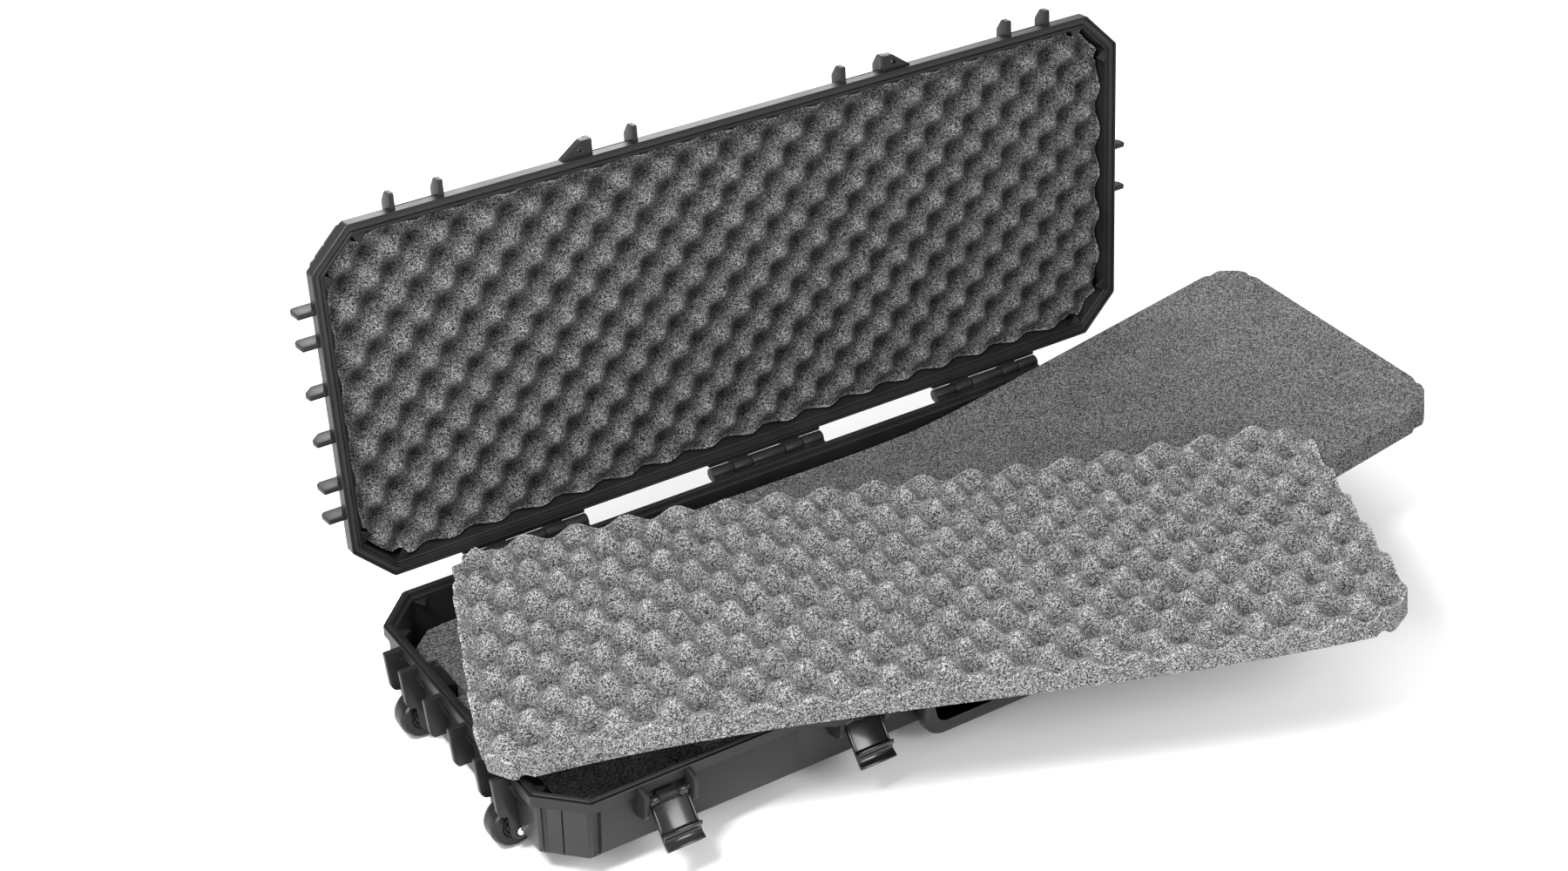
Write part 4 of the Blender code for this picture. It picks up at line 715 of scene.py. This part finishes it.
def knuckles(spans, turn, foot, low, high, web_low, web_high):
    """Barrels about the hinge line, each with a foot at y = foot, and their webs.

    turn is where a barrel's arc starts and stops, low and high its foot's ends.
    """
    form = Form()
    profile = [(foot, low)] + arc(HINGE_Y, RIM_Z, KNUCKLE, *turn, 24) + [(foot, high)]
    web = box(HALF_W - 0.0015, web_low, HALF_W + 0.0042, web_high)
    for x in HINGES:
        for x0, x1 in spans:
            form.plate(profile, x + x0, x + x1, "X", 0.0007, 0.0003, curve=2)
        form.plate(web, x - 0.0733, x + 0.0733, "X", 0.0006, 0.0006)
    return form


def tabs(form, inset, z):
    """Pointed tabs beside each cut-off corner that hold the foam in."""
    half, reach = 0.0088, 0.0122
    for sx in (-1, 1):
        for sy in (-1, 1):
            x, y = sx * (HALF_L - CUT_X - 0.013), sy * (HALF_W - inset)
            on_side = [(x - half, y + sy * 0.001), (x + half, y + sy * 0.001),
                       (x, y - sy * reach)]
            x, y = sx * (HALF_L - inset), sy * (HALF_W - CUT_Y - 0.013)
            on_end = [(x + sx * 0.001, y - half), (x + sx * 0.001, y + half),
                      (x - sx * reach, y)]
            for tab in (on_side, on_end):
                form.plate(tab, z - 0.0009, z + 0.0009, "Z", 0.0004, 0.0010)


# ---- lid
class CASE_OT_lid(Operator):
    """Build the lid tray, its fins, lugs, knuckles and gasket"""
    bl_idname = "case.lid"
    bl_label = "Lid"

    def execute(self, context):
        mat = shell_plastic()
        z, top = LID_Z, LID_TOP
        Form().add(*skin(wall_rings([
            (0.0190, top - 0.0035), (0.0168, top - 0.0045), (0.0141, z + 0.0050),
            (0.0138, z + 0.0030), (0.0130, z + 0.0024), (0.0112, z + 0.0024),
            (0.0108, z + 0.0004), (0.0104, z), (0.0094, z), (0.0090, z + 0.0006),
            (0.0089, z + 0.0035), (0.0027, z + 0.0035), (0.0026, z + 0.0004),
            (0.0022, z), (0.0006, z), (0.0, z + 0.0006), (0.0, z + 0.0134),
            (0.0006, z + 0.0140), (0.0096, 0.0086, z + 0.0141, 0),
            (0.0103, 0.0092, z + 0.0150, 1), (0.0133, 0.0122, top - 0.0055, 1),
            (0.0143, 0.0132, top - 0.0030, 1), (0.0165, 0.0154, top - 0.0008, 0),
            (0.0195, 0.0185, top, 0)]))).make(
                "lid_tray", mat, "lid", ["lid_shell"], 30, lid_up)
        self.add_lugs(mat)
        self.add_knuckles(mat)
        self.add_top(mat)
        rubber = plastic("gasket_rubber", (0.022, 0.022, 0.023, 1.0), 0.55, 0.00004)
        section = [(0.0030, 0.0022), (0.0030, 0.0034), (0.0085, 0.0034), (0.0085, 0.0022),
                   (0.0079, 0.0019), (0.0062, 0.0019), (0.0052, 0.0019), (0.0036, 0.0019)]
        rings = [rim_outline(a, a, z + b) for a, b in section]
        Form().add(*skin(rings, closed=True)).make(
            "lid_gasket", rubber, "lid", ["lid_seal"], 40, lid_up)
        return {'FINISHED'}

    def add_lugs(self, mat):
        """Fins at the lid's wheel end, lugs at its other end and by each latch."""
        form = Form()
        z0 = LID_Z + 0.0046
        z1 = z0 + 0.0210
        for y in FINS:
            slope = 0.004 if abs(y) >= FIN_MIDDLE else 0.011
            points = [(-0.4870, z0), (FIN_OUT + 0.001, z0), (FIN_OUT, z1 - slope),
                      (FIN_OUT + slope, z1), (-0.4870, z1)]
            form.plate(points, y - 0.0029, y + 0.0029, "Y", 0.0008, 0.0018)
        lug = [(-0.0130, z0), (0.0175, z0), (0.0175, z0 + 0.0108), (0.0158, z0 + 0.0132),
               (0.0038, z0 + 0.0218), (-0.0130, z0 + 0.0218)]
        for side in (-1, 1):
            y = side * 0.0265
            form.plate([(HALF_L + a, b) for a, b in lug], y - 0.0029, y + 0.0029,
                       "Y", 0.0008, 0.0018)
        for _, x in LATCHES:
            for side in (-1, 1):
                m = x + side * GUARD_STEP
                form.plate([(-HALF_W - a, b) for a, b in lug], m - 0.0027,
                           m + 0.0027, "X", 0.0008, 0.0018)
            # raised catch on the flange that the latch's hook grips
            form.plate(box(x - 0.0225, -0.1995, x + 0.0225, -0.1935),
                       LID_Z + 0.0120, LID_Z + 0.0138, "Z", 0.0005, 0.001)
        for x, side in EARS:
            padlock_ear(form, x + side * GUARD_STEP, side, z0 + 0.0002, z0 + 0.0088)
        tabs(form, 0.0138, LID_Z + 0.0045)
        form.make("lid_lugs", mat, "lid", place=lid_up)

    def add_knuckles(self, mat):
        form = knuckles(((-0.0457, -0.0225), (0.0225, 0.0457)), (168.0, 450.0), 0.1965,
                        LID_Z + 0.0014, LID_Z + 0.0098, LID_Z + 0.0012, LID_Z + 0.0090)
        form.make("lid_knuckles", mat, "lid", place=lid_up)

    def add_top(self, mat):
        """Long low ribs on the outside of the lid."""
        form = Form()
        for y in (-0.112, -0.056, 0.0, 0.056, 0.112):
            form.plate(box(-0.415, y - 0.009, 0.415, y + 0.009), LID_TOP - 0.002,
                       LID_TOP + 0.0012, "Z", 0.0011, 0.009)
        form.make("lid_ribs", mat, "lid", place=lid_up)


# ---- latches
class CASE_OT_latches(Operator):
    """Build the four draw latches hanging open"""
    bl_idname = "case.latches"
    bl_label = "Latches"

    def execute(self, context):
        mat = plastic("latch_plastic", colours().glossy, 0.20, coat=0.4, dust=0.05)
        inn, out = 0.0006, -0.0025
        hook = 0.0338
        for name, x in LATCHES:
            form = Form()
            side = [(inn, 0.0050), (inn, hook - 0.0010), (inn + 0.0012, hook + 0.0003),
                    (0.0080, hook), (0.0087, hook + 0.0004), (0.0086, hook + 0.0022),
                    (0.0062, hook + 0.0046), (inn + 0.0018, hook + 0.0056),
                    (inn + 0.0002, hook + 0.0084), (inn + 0.0006, hook + 0.0118),
                    (inn + 0.0024, hook + 0.0150), (inn + 0.0026, hook + 0.0172),
                    (inn + 0.0012, hook + 0.0180), (out + 0.0010, hook + 0.0176),
                    (out, hook + 0.0160), (out, 0.0050)]
            form.plate([(LATCH_Y + a, LATCH_Z + b) for a, b in side],
                       x - 0.0209, x + 0.0209, "X", 0.0007, 0.0010)
            for s in (-1, 1):
                knuckle = arc(LATCH_Y, LATCH_Z, 0.0041, -205, 25, 16)
                knuckle += [(LATCH_Y + inn, LATCH_Z + 0.0068),
                            (LATCH_Y + out, LATCH_Z + 0.0068)]
                x0, x1 = pair(s, 0.0107, 0.0208)
                form.plate(knuckle, x + x0, x + x1, "X", 0.0004, 0.0003, curve=2)
                x0, x1 = pair(s, 0.0182, 0.0208)
                rail = box(LATCH_Y + out + 0.001, LATCH_Z + 0.0080,
                           LATCH_Y + inn + 0.0012, LATCH_Z + hook - 0.0006)
                form.plate(rail, x + x0, x + x1, "X", 0.0005, 0.0006)
            form.make(f"draw_latch_{name}", mat, f"latch_{name}_body",
                      [f"latch_{name}"], place=latch_down)
        return {'FINISHED'}


# ---- wheels
def dress(name, mat):
    """Gives a node of the frame, which shows as it is, its finish."""
    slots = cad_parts[name].data.materials
    slots.clear()
    slots.append(mat)


class CASE_OT_wheels(Operator):
    """Build the tyres, hubs and axle bolts"""
    bl_idname = "case.wheels"
    bl_label = "Wheels"

    def execute(self, context):
        tread = plastic("tyre_rubber", (0.006, 0.006, 0.006, 1.0), 0.26, 0.00003, cloud=60)
        hub_mat = plastic("hub_plastic", (0.007, 0.007, 0.007, 1.0), 0.28)
        zinc = metal("zinc_steel", (0.72, 0.72, 0.74, 1.0), 0.24)
        for name, side in (("front", -1), ("back", 1)):
            centre = (WHEEL_X, side * WHEEL_Y, WHEEL_Z)
            crown = [(WHEEL_Z - 0.0034 * abs(v) ** 5, v * 0.0119)
                     for v in np.linspace(-1, 1, 15)]
            tyre = [(0.0152, 0.0112), (0.0205, 0.0116)] + crown[::-1]
            tyre += [(0.0205, -0.0116), (0.0152, -0.0112)]
            Form().add(*spun(tyre, centre, "Y")).make(
                f"wheel_tyre_{name}", tread, f"wheel_{name}", [f"tyre_{name}"], 40)
            h = 0.0126
            hub = [(0.0034, -h), (0.0056, -h), (0.0066, -h + 0.0024), (0.0104, -h + 0.0032),
                   (0.0118, -h + 0.0010), (0.0138, -h + 0.0006), (0.0143, -h + 0.0014),
                   (0.0143, h - 0.0014), (0.0138, h - 0.0006), (0.0118, h - 0.0010),
                   (0.0104, h - 0.0032), (0.0066, h - 0.0024), (0.0056, h), (0.0034, h)]
            form = Form().add(*spun(hub, centre, "Y"))
            for k in range(5):
                t = 2 * math.pi * k / 5 + 0.3
                c, s = math.cos(t), math.sin(t)
                for face in (-1, 1):
                    y = centre[1] + face * (h - 0.0024)
                    spoke = [(a * c - b * s + WHEEL_X, a * s + b * c + WHEEL_Z)
                             for a, b in box(0.0060, -0.0012, 0.0122, 0.0012)]
                    form.plate(spoke, y - 0.0012, y + 0.0010, "Y", 0.0004, 0.0005)
            form.make(f"wheel_core_{name}", hub_mat, f"wheel_{name}",
                      [f"wheel_hub_{name}"])
            # bolt from its slotted head, on the axis, to the end of its shank
            face = 0.1188
            bolt = [(0.00002, face + 0.0034), (0.0016, face + 0.0033),
                    (0.0034, face + 0.0029), (0.0045, face + 0.0020),
                    (0.0048, face + 0.0010), (0.0048, face), (0.0029, face),
                    (0.0029, 0.0716), (0.0024, 0.0711), (0.00002, 0.0711)]
            bolt = [(a, side * b) for a, b in bolt]
            form = Form().add(*spun(bolt, (WHEEL_X, 0.0, WHEEL_Z), "Y", 32))
            y0, y1 = pair(side, face + 0.0020, face + 0.0037)
            slot = box(WHEEL_X - 0.0034, WHEEL_Z - 0.0005, WHEEL_X + 0.0034,
                       WHEEL_Z + 0.0005)
            form.plate(slot, y0, y1, "Y", 0.0002, 0.0002)
            form.make(f"bolt_{name}", zinc, "base", [f"axle_bolt_{name}"], 40)
            dress(f"axle_nut_{name}", zinc)
        return {'FINISHED'}


# ---- handles
class CASE_OT_handles(Operator):
    """Build the carry handle, the pull handle and dress the small pins"""
    bl_idname = "case.handles"
    bl_label = "Handles and Pins"

    def execute(self, context):
        mat = plastic("handle_plastic", (0.020, 0.020, 0.021, 1.0), 0.36, 0.00004, 0.1)
        self.handle("carry_grip", mat, 0.162, 0.018, 0.058, 0.022, 0.018, 0.025, "Y",
                    "carry_handle")
        self.handle("pull_grip", mat, 0.124, 0.014, 0.052, 0.018, 0.015, 0.019, "X",
                    "pull_handle")
        dark = metal("pin_steel", (0.22, 0.22, 0.23, 1.0), 0.30)
        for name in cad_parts:
            if "_pin_" in name:
                dress(name, dark)
        return {'FINISHED'}

    def handle(self, name, mat, width, depth, length, grip, arm, corner, across, cad):
        """U outline of the handle, its long edges rounded by quarter circles."""
        low = HANDLE_Z - length
        half = width / 2
        inner = half - arm
        inner_low = low + grip
        top = HANDLE_Z + depth / 2
        points = [(-half, top)]
        points += arc(-half + corner, low + corner, corner, 180, 270, 10)
        points += arc(half - corner, low + corner, corner, 270, 360, 10)
        points += [(half, top), (inner, top)]
        points += arc(inner - 0.010, inner_low + 0.010, 0.010, 0, -90, 6)
        points += arc(-inner + 0.010, inner_low + 0.010, 0.010, -90, -180, 6)
        points.append((-inner, top))
        reach = depth / 2 + 0.0016 - 0.005
        at = -HALF_W - reach if across == "Y" else HALF_L + reach
        form = Form().plate(points, at - depth / 2 + 0.0001, at + depth / 2 - 0.0001,
                            across, 0.0046, 0.004, steps=5)
        for k in range(-4, 5):
            x = k * (inner - 0.016) / 4
            rib = box(x - 0.0014, inner_low - 0.0015, x + 0.0014, inner_low + 0.0006)
            form.plate(rib, at - depth * 0.3, at + depth * 0.3, across, 0.0005, 0.0006)
        form.make(name, mat, f"{cad}_body", [cad])


# ---- foam
def crate_height(x, y, e, length, width):
    """Egg-crate thickness: mid + half swing times cos(pi x / p) cos(pi y / p).

    x and y are counted from the corner of the whole pattern, p is one step.
    Near the cut sides, where e is below 1, the swing is down to half.
    """
    s = sizes()
    p = s.foam_step
    x = x + math.ceil(length / p - 1e-6) * p / 2
    y = y + math.ceil(width / p - 1e-6) * p / 2
    wave = np.cos(np.pi * x / p) * np.cos(np.pi * y / p) * (0.5 + 0.5 * e)
    return (s.foam_peak + s.foam_pit) / 2 + (s.foam_peak - s.foam_pit) / 2 * wave


def sheet(length, width, cut, notch, height, step, back=0.009):
    """Closed sheet with cut-off corners, as (points, faces, tones) on z = 0.

    A row at x is as wide as the outline leaves there: half width less
    |x| - (half length - cut), less a smooth notch beside each corner.  height
    is a number or a function of x, y, e, length and width, where e runs from 0
    at the cut sides to 1 inside.  The tones are painted light: a tone is low in a
    pit, painted shade, 1 on a peak, 0.6 on a flat sheet and 1.5 on the cut line, a
    painted highlight.
    """
    nx = max(8, int(round(length / step)))
    ny = max(4, int(round(width / step)))
    u = np.linspace(-length / 2, length / 2, nx + 1)
    v = np.linspace(-1, 1, ny + 1)
    near = length / 2 - cut
    past = (np.abs(u) - near) / 0.0035
    limit = width / 2 - 0.0035 * np.logaddexp(0, past)
    limit -= 0.004 * np.clip((np.abs(u) - length / 2) / 0.006 + 1, 0, 1) ** 2
    limit -= notch * np.exp(-((np.abs(u) - (near - back)) / 0.0055) ** 4)
    x = np.repeat(u[:, None], ny + 1, 1)
    y = v[None, :] * limit[:, None]
    side = width / 2 - cut - back
    x = x - np.sign(x) * notch * np.exp(-((np.abs(y) - side) / 0.0055) ** 4) \
        * (np.abs(x) / (length / 2)) ** 24
    inside = np.minimum(limit[:, None] - np.abs(y), length / 2 - np.abs(x))
    e = np.clip(inside / 0.022, 0, 1)
    if callable(height):
        z = height(x, y, e * e * (3 - 2 * e), length, width)
        tone = (z - z.min()) / np.ptp(z)
    else:
        z = np.full_like(x, height)
        tone = np.full_like(x, 0.6)
    # painted light: the pits stay dark as painted shade, and the cut line's rows are set to
    # 1.5 as a painted highlight
    tone = 0.12 + 0.88 * tone ** 0.8
    tone[[0, -1]] = tone[:, [0, -1]] = 1.5
    top = np.stack([x, y, z], -1)
    under = np.stack([x, y, np.zeros_like(x)], -1)
    index = np.arange((nx + 1) * (ny + 1)).reshape(nx + 1, ny + 1)
    edge = np.concatenate([index[:-1, 0], index[-1, :-1], index[:0:-1, -1],
                           index[0, :0:-1]])
    pt, ft = grid(top)
    pb, fb = grid(under, flip=True)
    a, b = pt[edge], pb[edge]
    levels = np.array([0.10, 0.5, 0.92])
    walls = a[None] + (b - a)[None] * levels[:, None, None]
    n = len(edge)
    start = len(pt) + len(pb)
    rows = [edge] + [start + k * n + np.arange(n) for k in range(len(walls))]
    rows.append(edge + len(pt))
    faces = ft + [[i + len(pt) for i in f] for f in fb]
    for first, second in zip(rows, rows[1:]):
        on, on2 = np.roll(first, -1), np.roll(second, -1)
        faces += np.stack([first, second, on2, on], -1).tolist()
    # painted light for every point: the top's tones, then 0.75 on the underside and the
    # sides
    painted_light = np.concatenate([tone.ravel(), np.full(len(pb) + 3 * n, 0.75)])
    return np.vstack([pt, pb, walls.reshape(-1, 3)]), faces, painted_light


def wobble(points, size, amount):
    """Small smooth unevenness: sums of sines along x and y at two scales."""
    x, y = points[:, 0] / size, points[:, 1] / size
    w = np.sin(x * 1.3 + 0.7) * np.cos(y * 1.7 + 0.2) + 0.6 * np.sin(x * 2.9 + y * 2.3)
    out = points.copy()
    out[:, 2] += amount * w * (points[:, 2] > 0.002)
    return out


class CASE_OT_foam(Operator):
    """Build the lid foam, the floor foam and the two loose foam sheets"""
    bl_idname = "case.foam"
    bl_label = "Foam"

    def execute(self, context):
        c = colours()
        # the last number is how far the painted shade darkens a pit; the lid's pits are
        # painted darkest
        lid_mat = foam("lid_foam", c.lid_foam, 0.05, 3.6, 0.12)
        crate_mat = foam("egg_crate_foam", c.crate_foam, 0.10, 3.0, 0.38)
        flat_mat = foam("flat_foam", c.flat_foam, 0.15, 2.9, 0.95)
        step = sizes().foam_grid * 1.0

        points, *rest = sheet(0.9654, 0.3634, 0.0328, 0.0070, crate_height, step, 0.0056)
        points = wobble(points, 0.05, 0.0004)
        points[:, 2] = LID_TOP - 0.0038 - points[:, 2]
        self.pad("lid_egg_crate", lid_mat, "lid", "lid_foam", points, rest, lid_up)

        points, *rest = sheet(*CRATE_SIZE, 0.028, 0.0060, crate_height, step)
        points = wobble(points, 0.05, 0.0005)
        self.pad("egg_crate_sheet", crate_mat, "egg_crate_sheet", "loose_egg_crate_foam",
                 points, rest, self.lay_crate)

        points, *rest = sheet(*FLAT_SIZE, 0.026, 0.0040, 0.030, step * 1.6)
        self.pad("flat_sheet", flat_mat, "flat_sheet", "loose_flat_foam", points, rest,
                 self.lay_flat)

        points, *rest = sheet(0.964, 0.362, 0.040, 0.0, FLOOR_FOAM - 0.0001, 0.02)
        points[:, 2] += FLOOR_Z + GAP
        wells = [((-0.53, y0, 0.0), (-0.456, y1, 0.09))
                 for y0, y1 in (pair(side, 0.0625, 0.1300) for side in (-1, 1))]
        self.pad("floor_pad", flat_mat, "base", "base_floor_foam", points, rest,
                 blocks=wells)
        return {'FINISHED'}

    def pad(self, name, mat, body, cad, points, rest, place=None, blocks=()):
        faces, painted_light = rest
        piece = Form().add(points, faces).make(name, mat, body, [cad], 50, place, painted_light)
        if blocks:
            cut_away(piece, blocks)

    @staticmethod
    def lay_crate(points):
        """Droop of the ends by the cube of the way out, then tilt and turn."""
        half = CRATE_SIZE[0] / 2
        x, y, z = points.T
        s = x / half
        droop = np.where(s < 0, 0.0298, -0.0212)
        slope = -droop * 3 * s * np.abs(s) / half
        local = np.stack([x - z * slope + half, y, z - droop * np.abs(s) ** 3], -1)
        tilt = Matrix.Rotation(math.radians(-0.62), 3, 'Y')
        turn = Matrix.Rotation(math.radians(-21.9), 3, 'Z')
        rest = np.array([-HALF_L + 0.0339, 0.0308, RIM_Z + 0.0321])
        return local @ np.array(turn @ tilt).T + rest

    @staticmethod
    def lay_flat(points):
        """Rise of the sheet along the case: floor + slope r log(1 + e^((x-a)/r))."""
        end, start, soft = HALF_L + 0.145, HALF_L - 0.317, 0.030
        floor = FLOOR_Z + GAP + FLOOR_FOAM + GAP - RIM_Z
        span = end - start
        slope = (0.045 - floor) / span

        def rise(x):
            value = slope * soft * np.log1p(np.exp((x - start) / soft))
            last = slope * soft * math.log1p(math.exp(span / soft))
            return floor + value - (last - slope * span) * np.clip((x - start) / span, 0, 1)

        line = np.linspace(end, end - 1.0, 2001)
        height = rise(line)
        run = np.concatenate([[0], np.cumsum(np.hypot(np.diff(line), np.diff(height)))])
        x, y, z = points.T
        at = np.interp(FLAT_SIZE[0] / 2 - x, run, line)
        lean = np.arctan((rise(at + 0.0005) - rise(at - 0.0005)) / 0.001)
        px = at - z * np.sin(lean) - end
        pz = rise(at) + z * np.cos(lean)
        t = math.radians(-0.7)
        return np.stack([end + px * math.cos(t) - y * math.sin(t),
                         -0.008 + px * math.sin(t) + y * math.cos(t), RIM_Z + pz], -1)


# ---- stage
class CASE_OT_stage(Operator):
    """Add the floor, the lights and the camera"""
    bl_idname = "case.stage"
    bl_label = "Stage"

    def execute(self, context):
        scene = context.scene
        mesh = bpy.data.meshes.new("floor")
        mesh.from_pydata([(x, y, -0.0002) for x, y in box(-12, -12, 12, 12)], [],
                         [(0, 1, 2, 3)])
        mat, tree, shader = start_material("floor")
        feed(tree, shader, {"Base Color": colours().floor, "Roughness": 0.9})
        mesh.materials.append(mat)
        floor = bpy.data.objects.new("floor", mesh)
        scene.collection.objects.link(floor)
        world = bpy.data.worlds.new("studio")
        world.use_nodes = True
        feed(world.node_tree, world.node_tree.nodes["Background"],
             {"Color": (1, 1, 1, 1), "Strength": 0.70})
        scene.world = world
        scene.view_settings.view_transform = 'Standard'
        for name, place, size, power in (
                ("key", (-1.4, -0.4, 2.0), 0.6, 60.0), ("back", (0.7, 2.1, 1.7), 1.6, 58.0),
                ("side", (-2.3, -1.0, 0.7), 0.8, 24.0),
                ("card", (0.24, -1.30, 0.92), 0.48, 9.0)):
            light = bpy.data.lights.new(name, 'AREA')
            light.energy = power
            light.size = size
            lamp = bpy.data.objects.new(name, light)
            lamp.location = Vector(place) + Vector(OFFSET)
            aim = Vector((0.0, 0.1, 0.15)) + Vector(OFFSET) - lamp.location
            lamp.rotation_euler = aim.to_track_quat('-Z', 'Y').to_euler()
            scene.collection.objects.link(lamp)
        self.camera(scene)
        return {'FINISHED'}

    def camera(self, scene):
        """Camera where the photograph was taken from, rolled a little."""
        data = bpy.data.cameras.new("camera")
        data.lens = 60.43
        data.sensor_width = 36.0
        data.clip_end = 100.0
        eye = bpy.data.objects.new("camera", data)
        place = Vector((-1.3301, -1.8597, 1.6360 + RIM_Z))
        aim = Vector((-0.0193, 0.1453, 0.0696 + RIM_Z))
        back = (place - aim).normalized()
        right = Vector((0, 0, 1)).cross(back).normalized()
        up = back.cross(right)
        roll = Matrix.Rotation(math.radians(0.325), 3, 'Z')
        turn = (Matrix((right, up, back)).transposed() @ roll).to_4x4()
        eye.matrix_world = Matrix.Translation(place + Vector(OFFSET)) @ turn
        scene.collection.objects.link(eye)
        scene.camera = eye


# ---- panel
class CASE_PT_panel(Panel):
    """Lists the case's pieces in the sidebar"""
    bl_idname = "CASE_PT_panel"
    bl_label = "Hard Case"
    bl_space_type = 'VIEW_3D'
    bl_region_type = 'UI'
    bl_category = "Hard Case"

    def draw(self, context):
        layout = self.layout
        for kind in OPERATORS:
            layout.operator(kind.bl_idname)
        for group in (context.scene.case_sizes, context.scene.case_colours):
            for key in group.__annotations__:
                layout.prop(group, key)


OPERATORS = (CASE_OT_stage, CASE_OT_base, CASE_OT_lid, CASE_OT_latches, CASE_OT_wheels,
             CASE_OT_handles, CASE_OT_foam)
CLASSES = (CaseSizes, CaseColours) + OPERATORS + (CASE_PT_panel,)


def register():
    for kind in CLASSES:
        bpy.utils.register_class(kind)
    bpy.types.Scene.case_sizes = PointerProperty(type=CaseSizes)
    bpy.types.Scene.case_colours = PointerProperty(type=CaseColours)


def unregister():
    del bpy.types.Scene.case_colours
    del bpy.types.Scene.case_sizes
    for kind in reversed(CLASSES):
        bpy.utils.unregister_class(kind)


def main():
    register()
    for name in ("stage", "base", "lid", "latches", "wheels", "handles", "foam"):
        getattr(bpy.ops.case, name)()


if __name__ == "__main__":
    main()
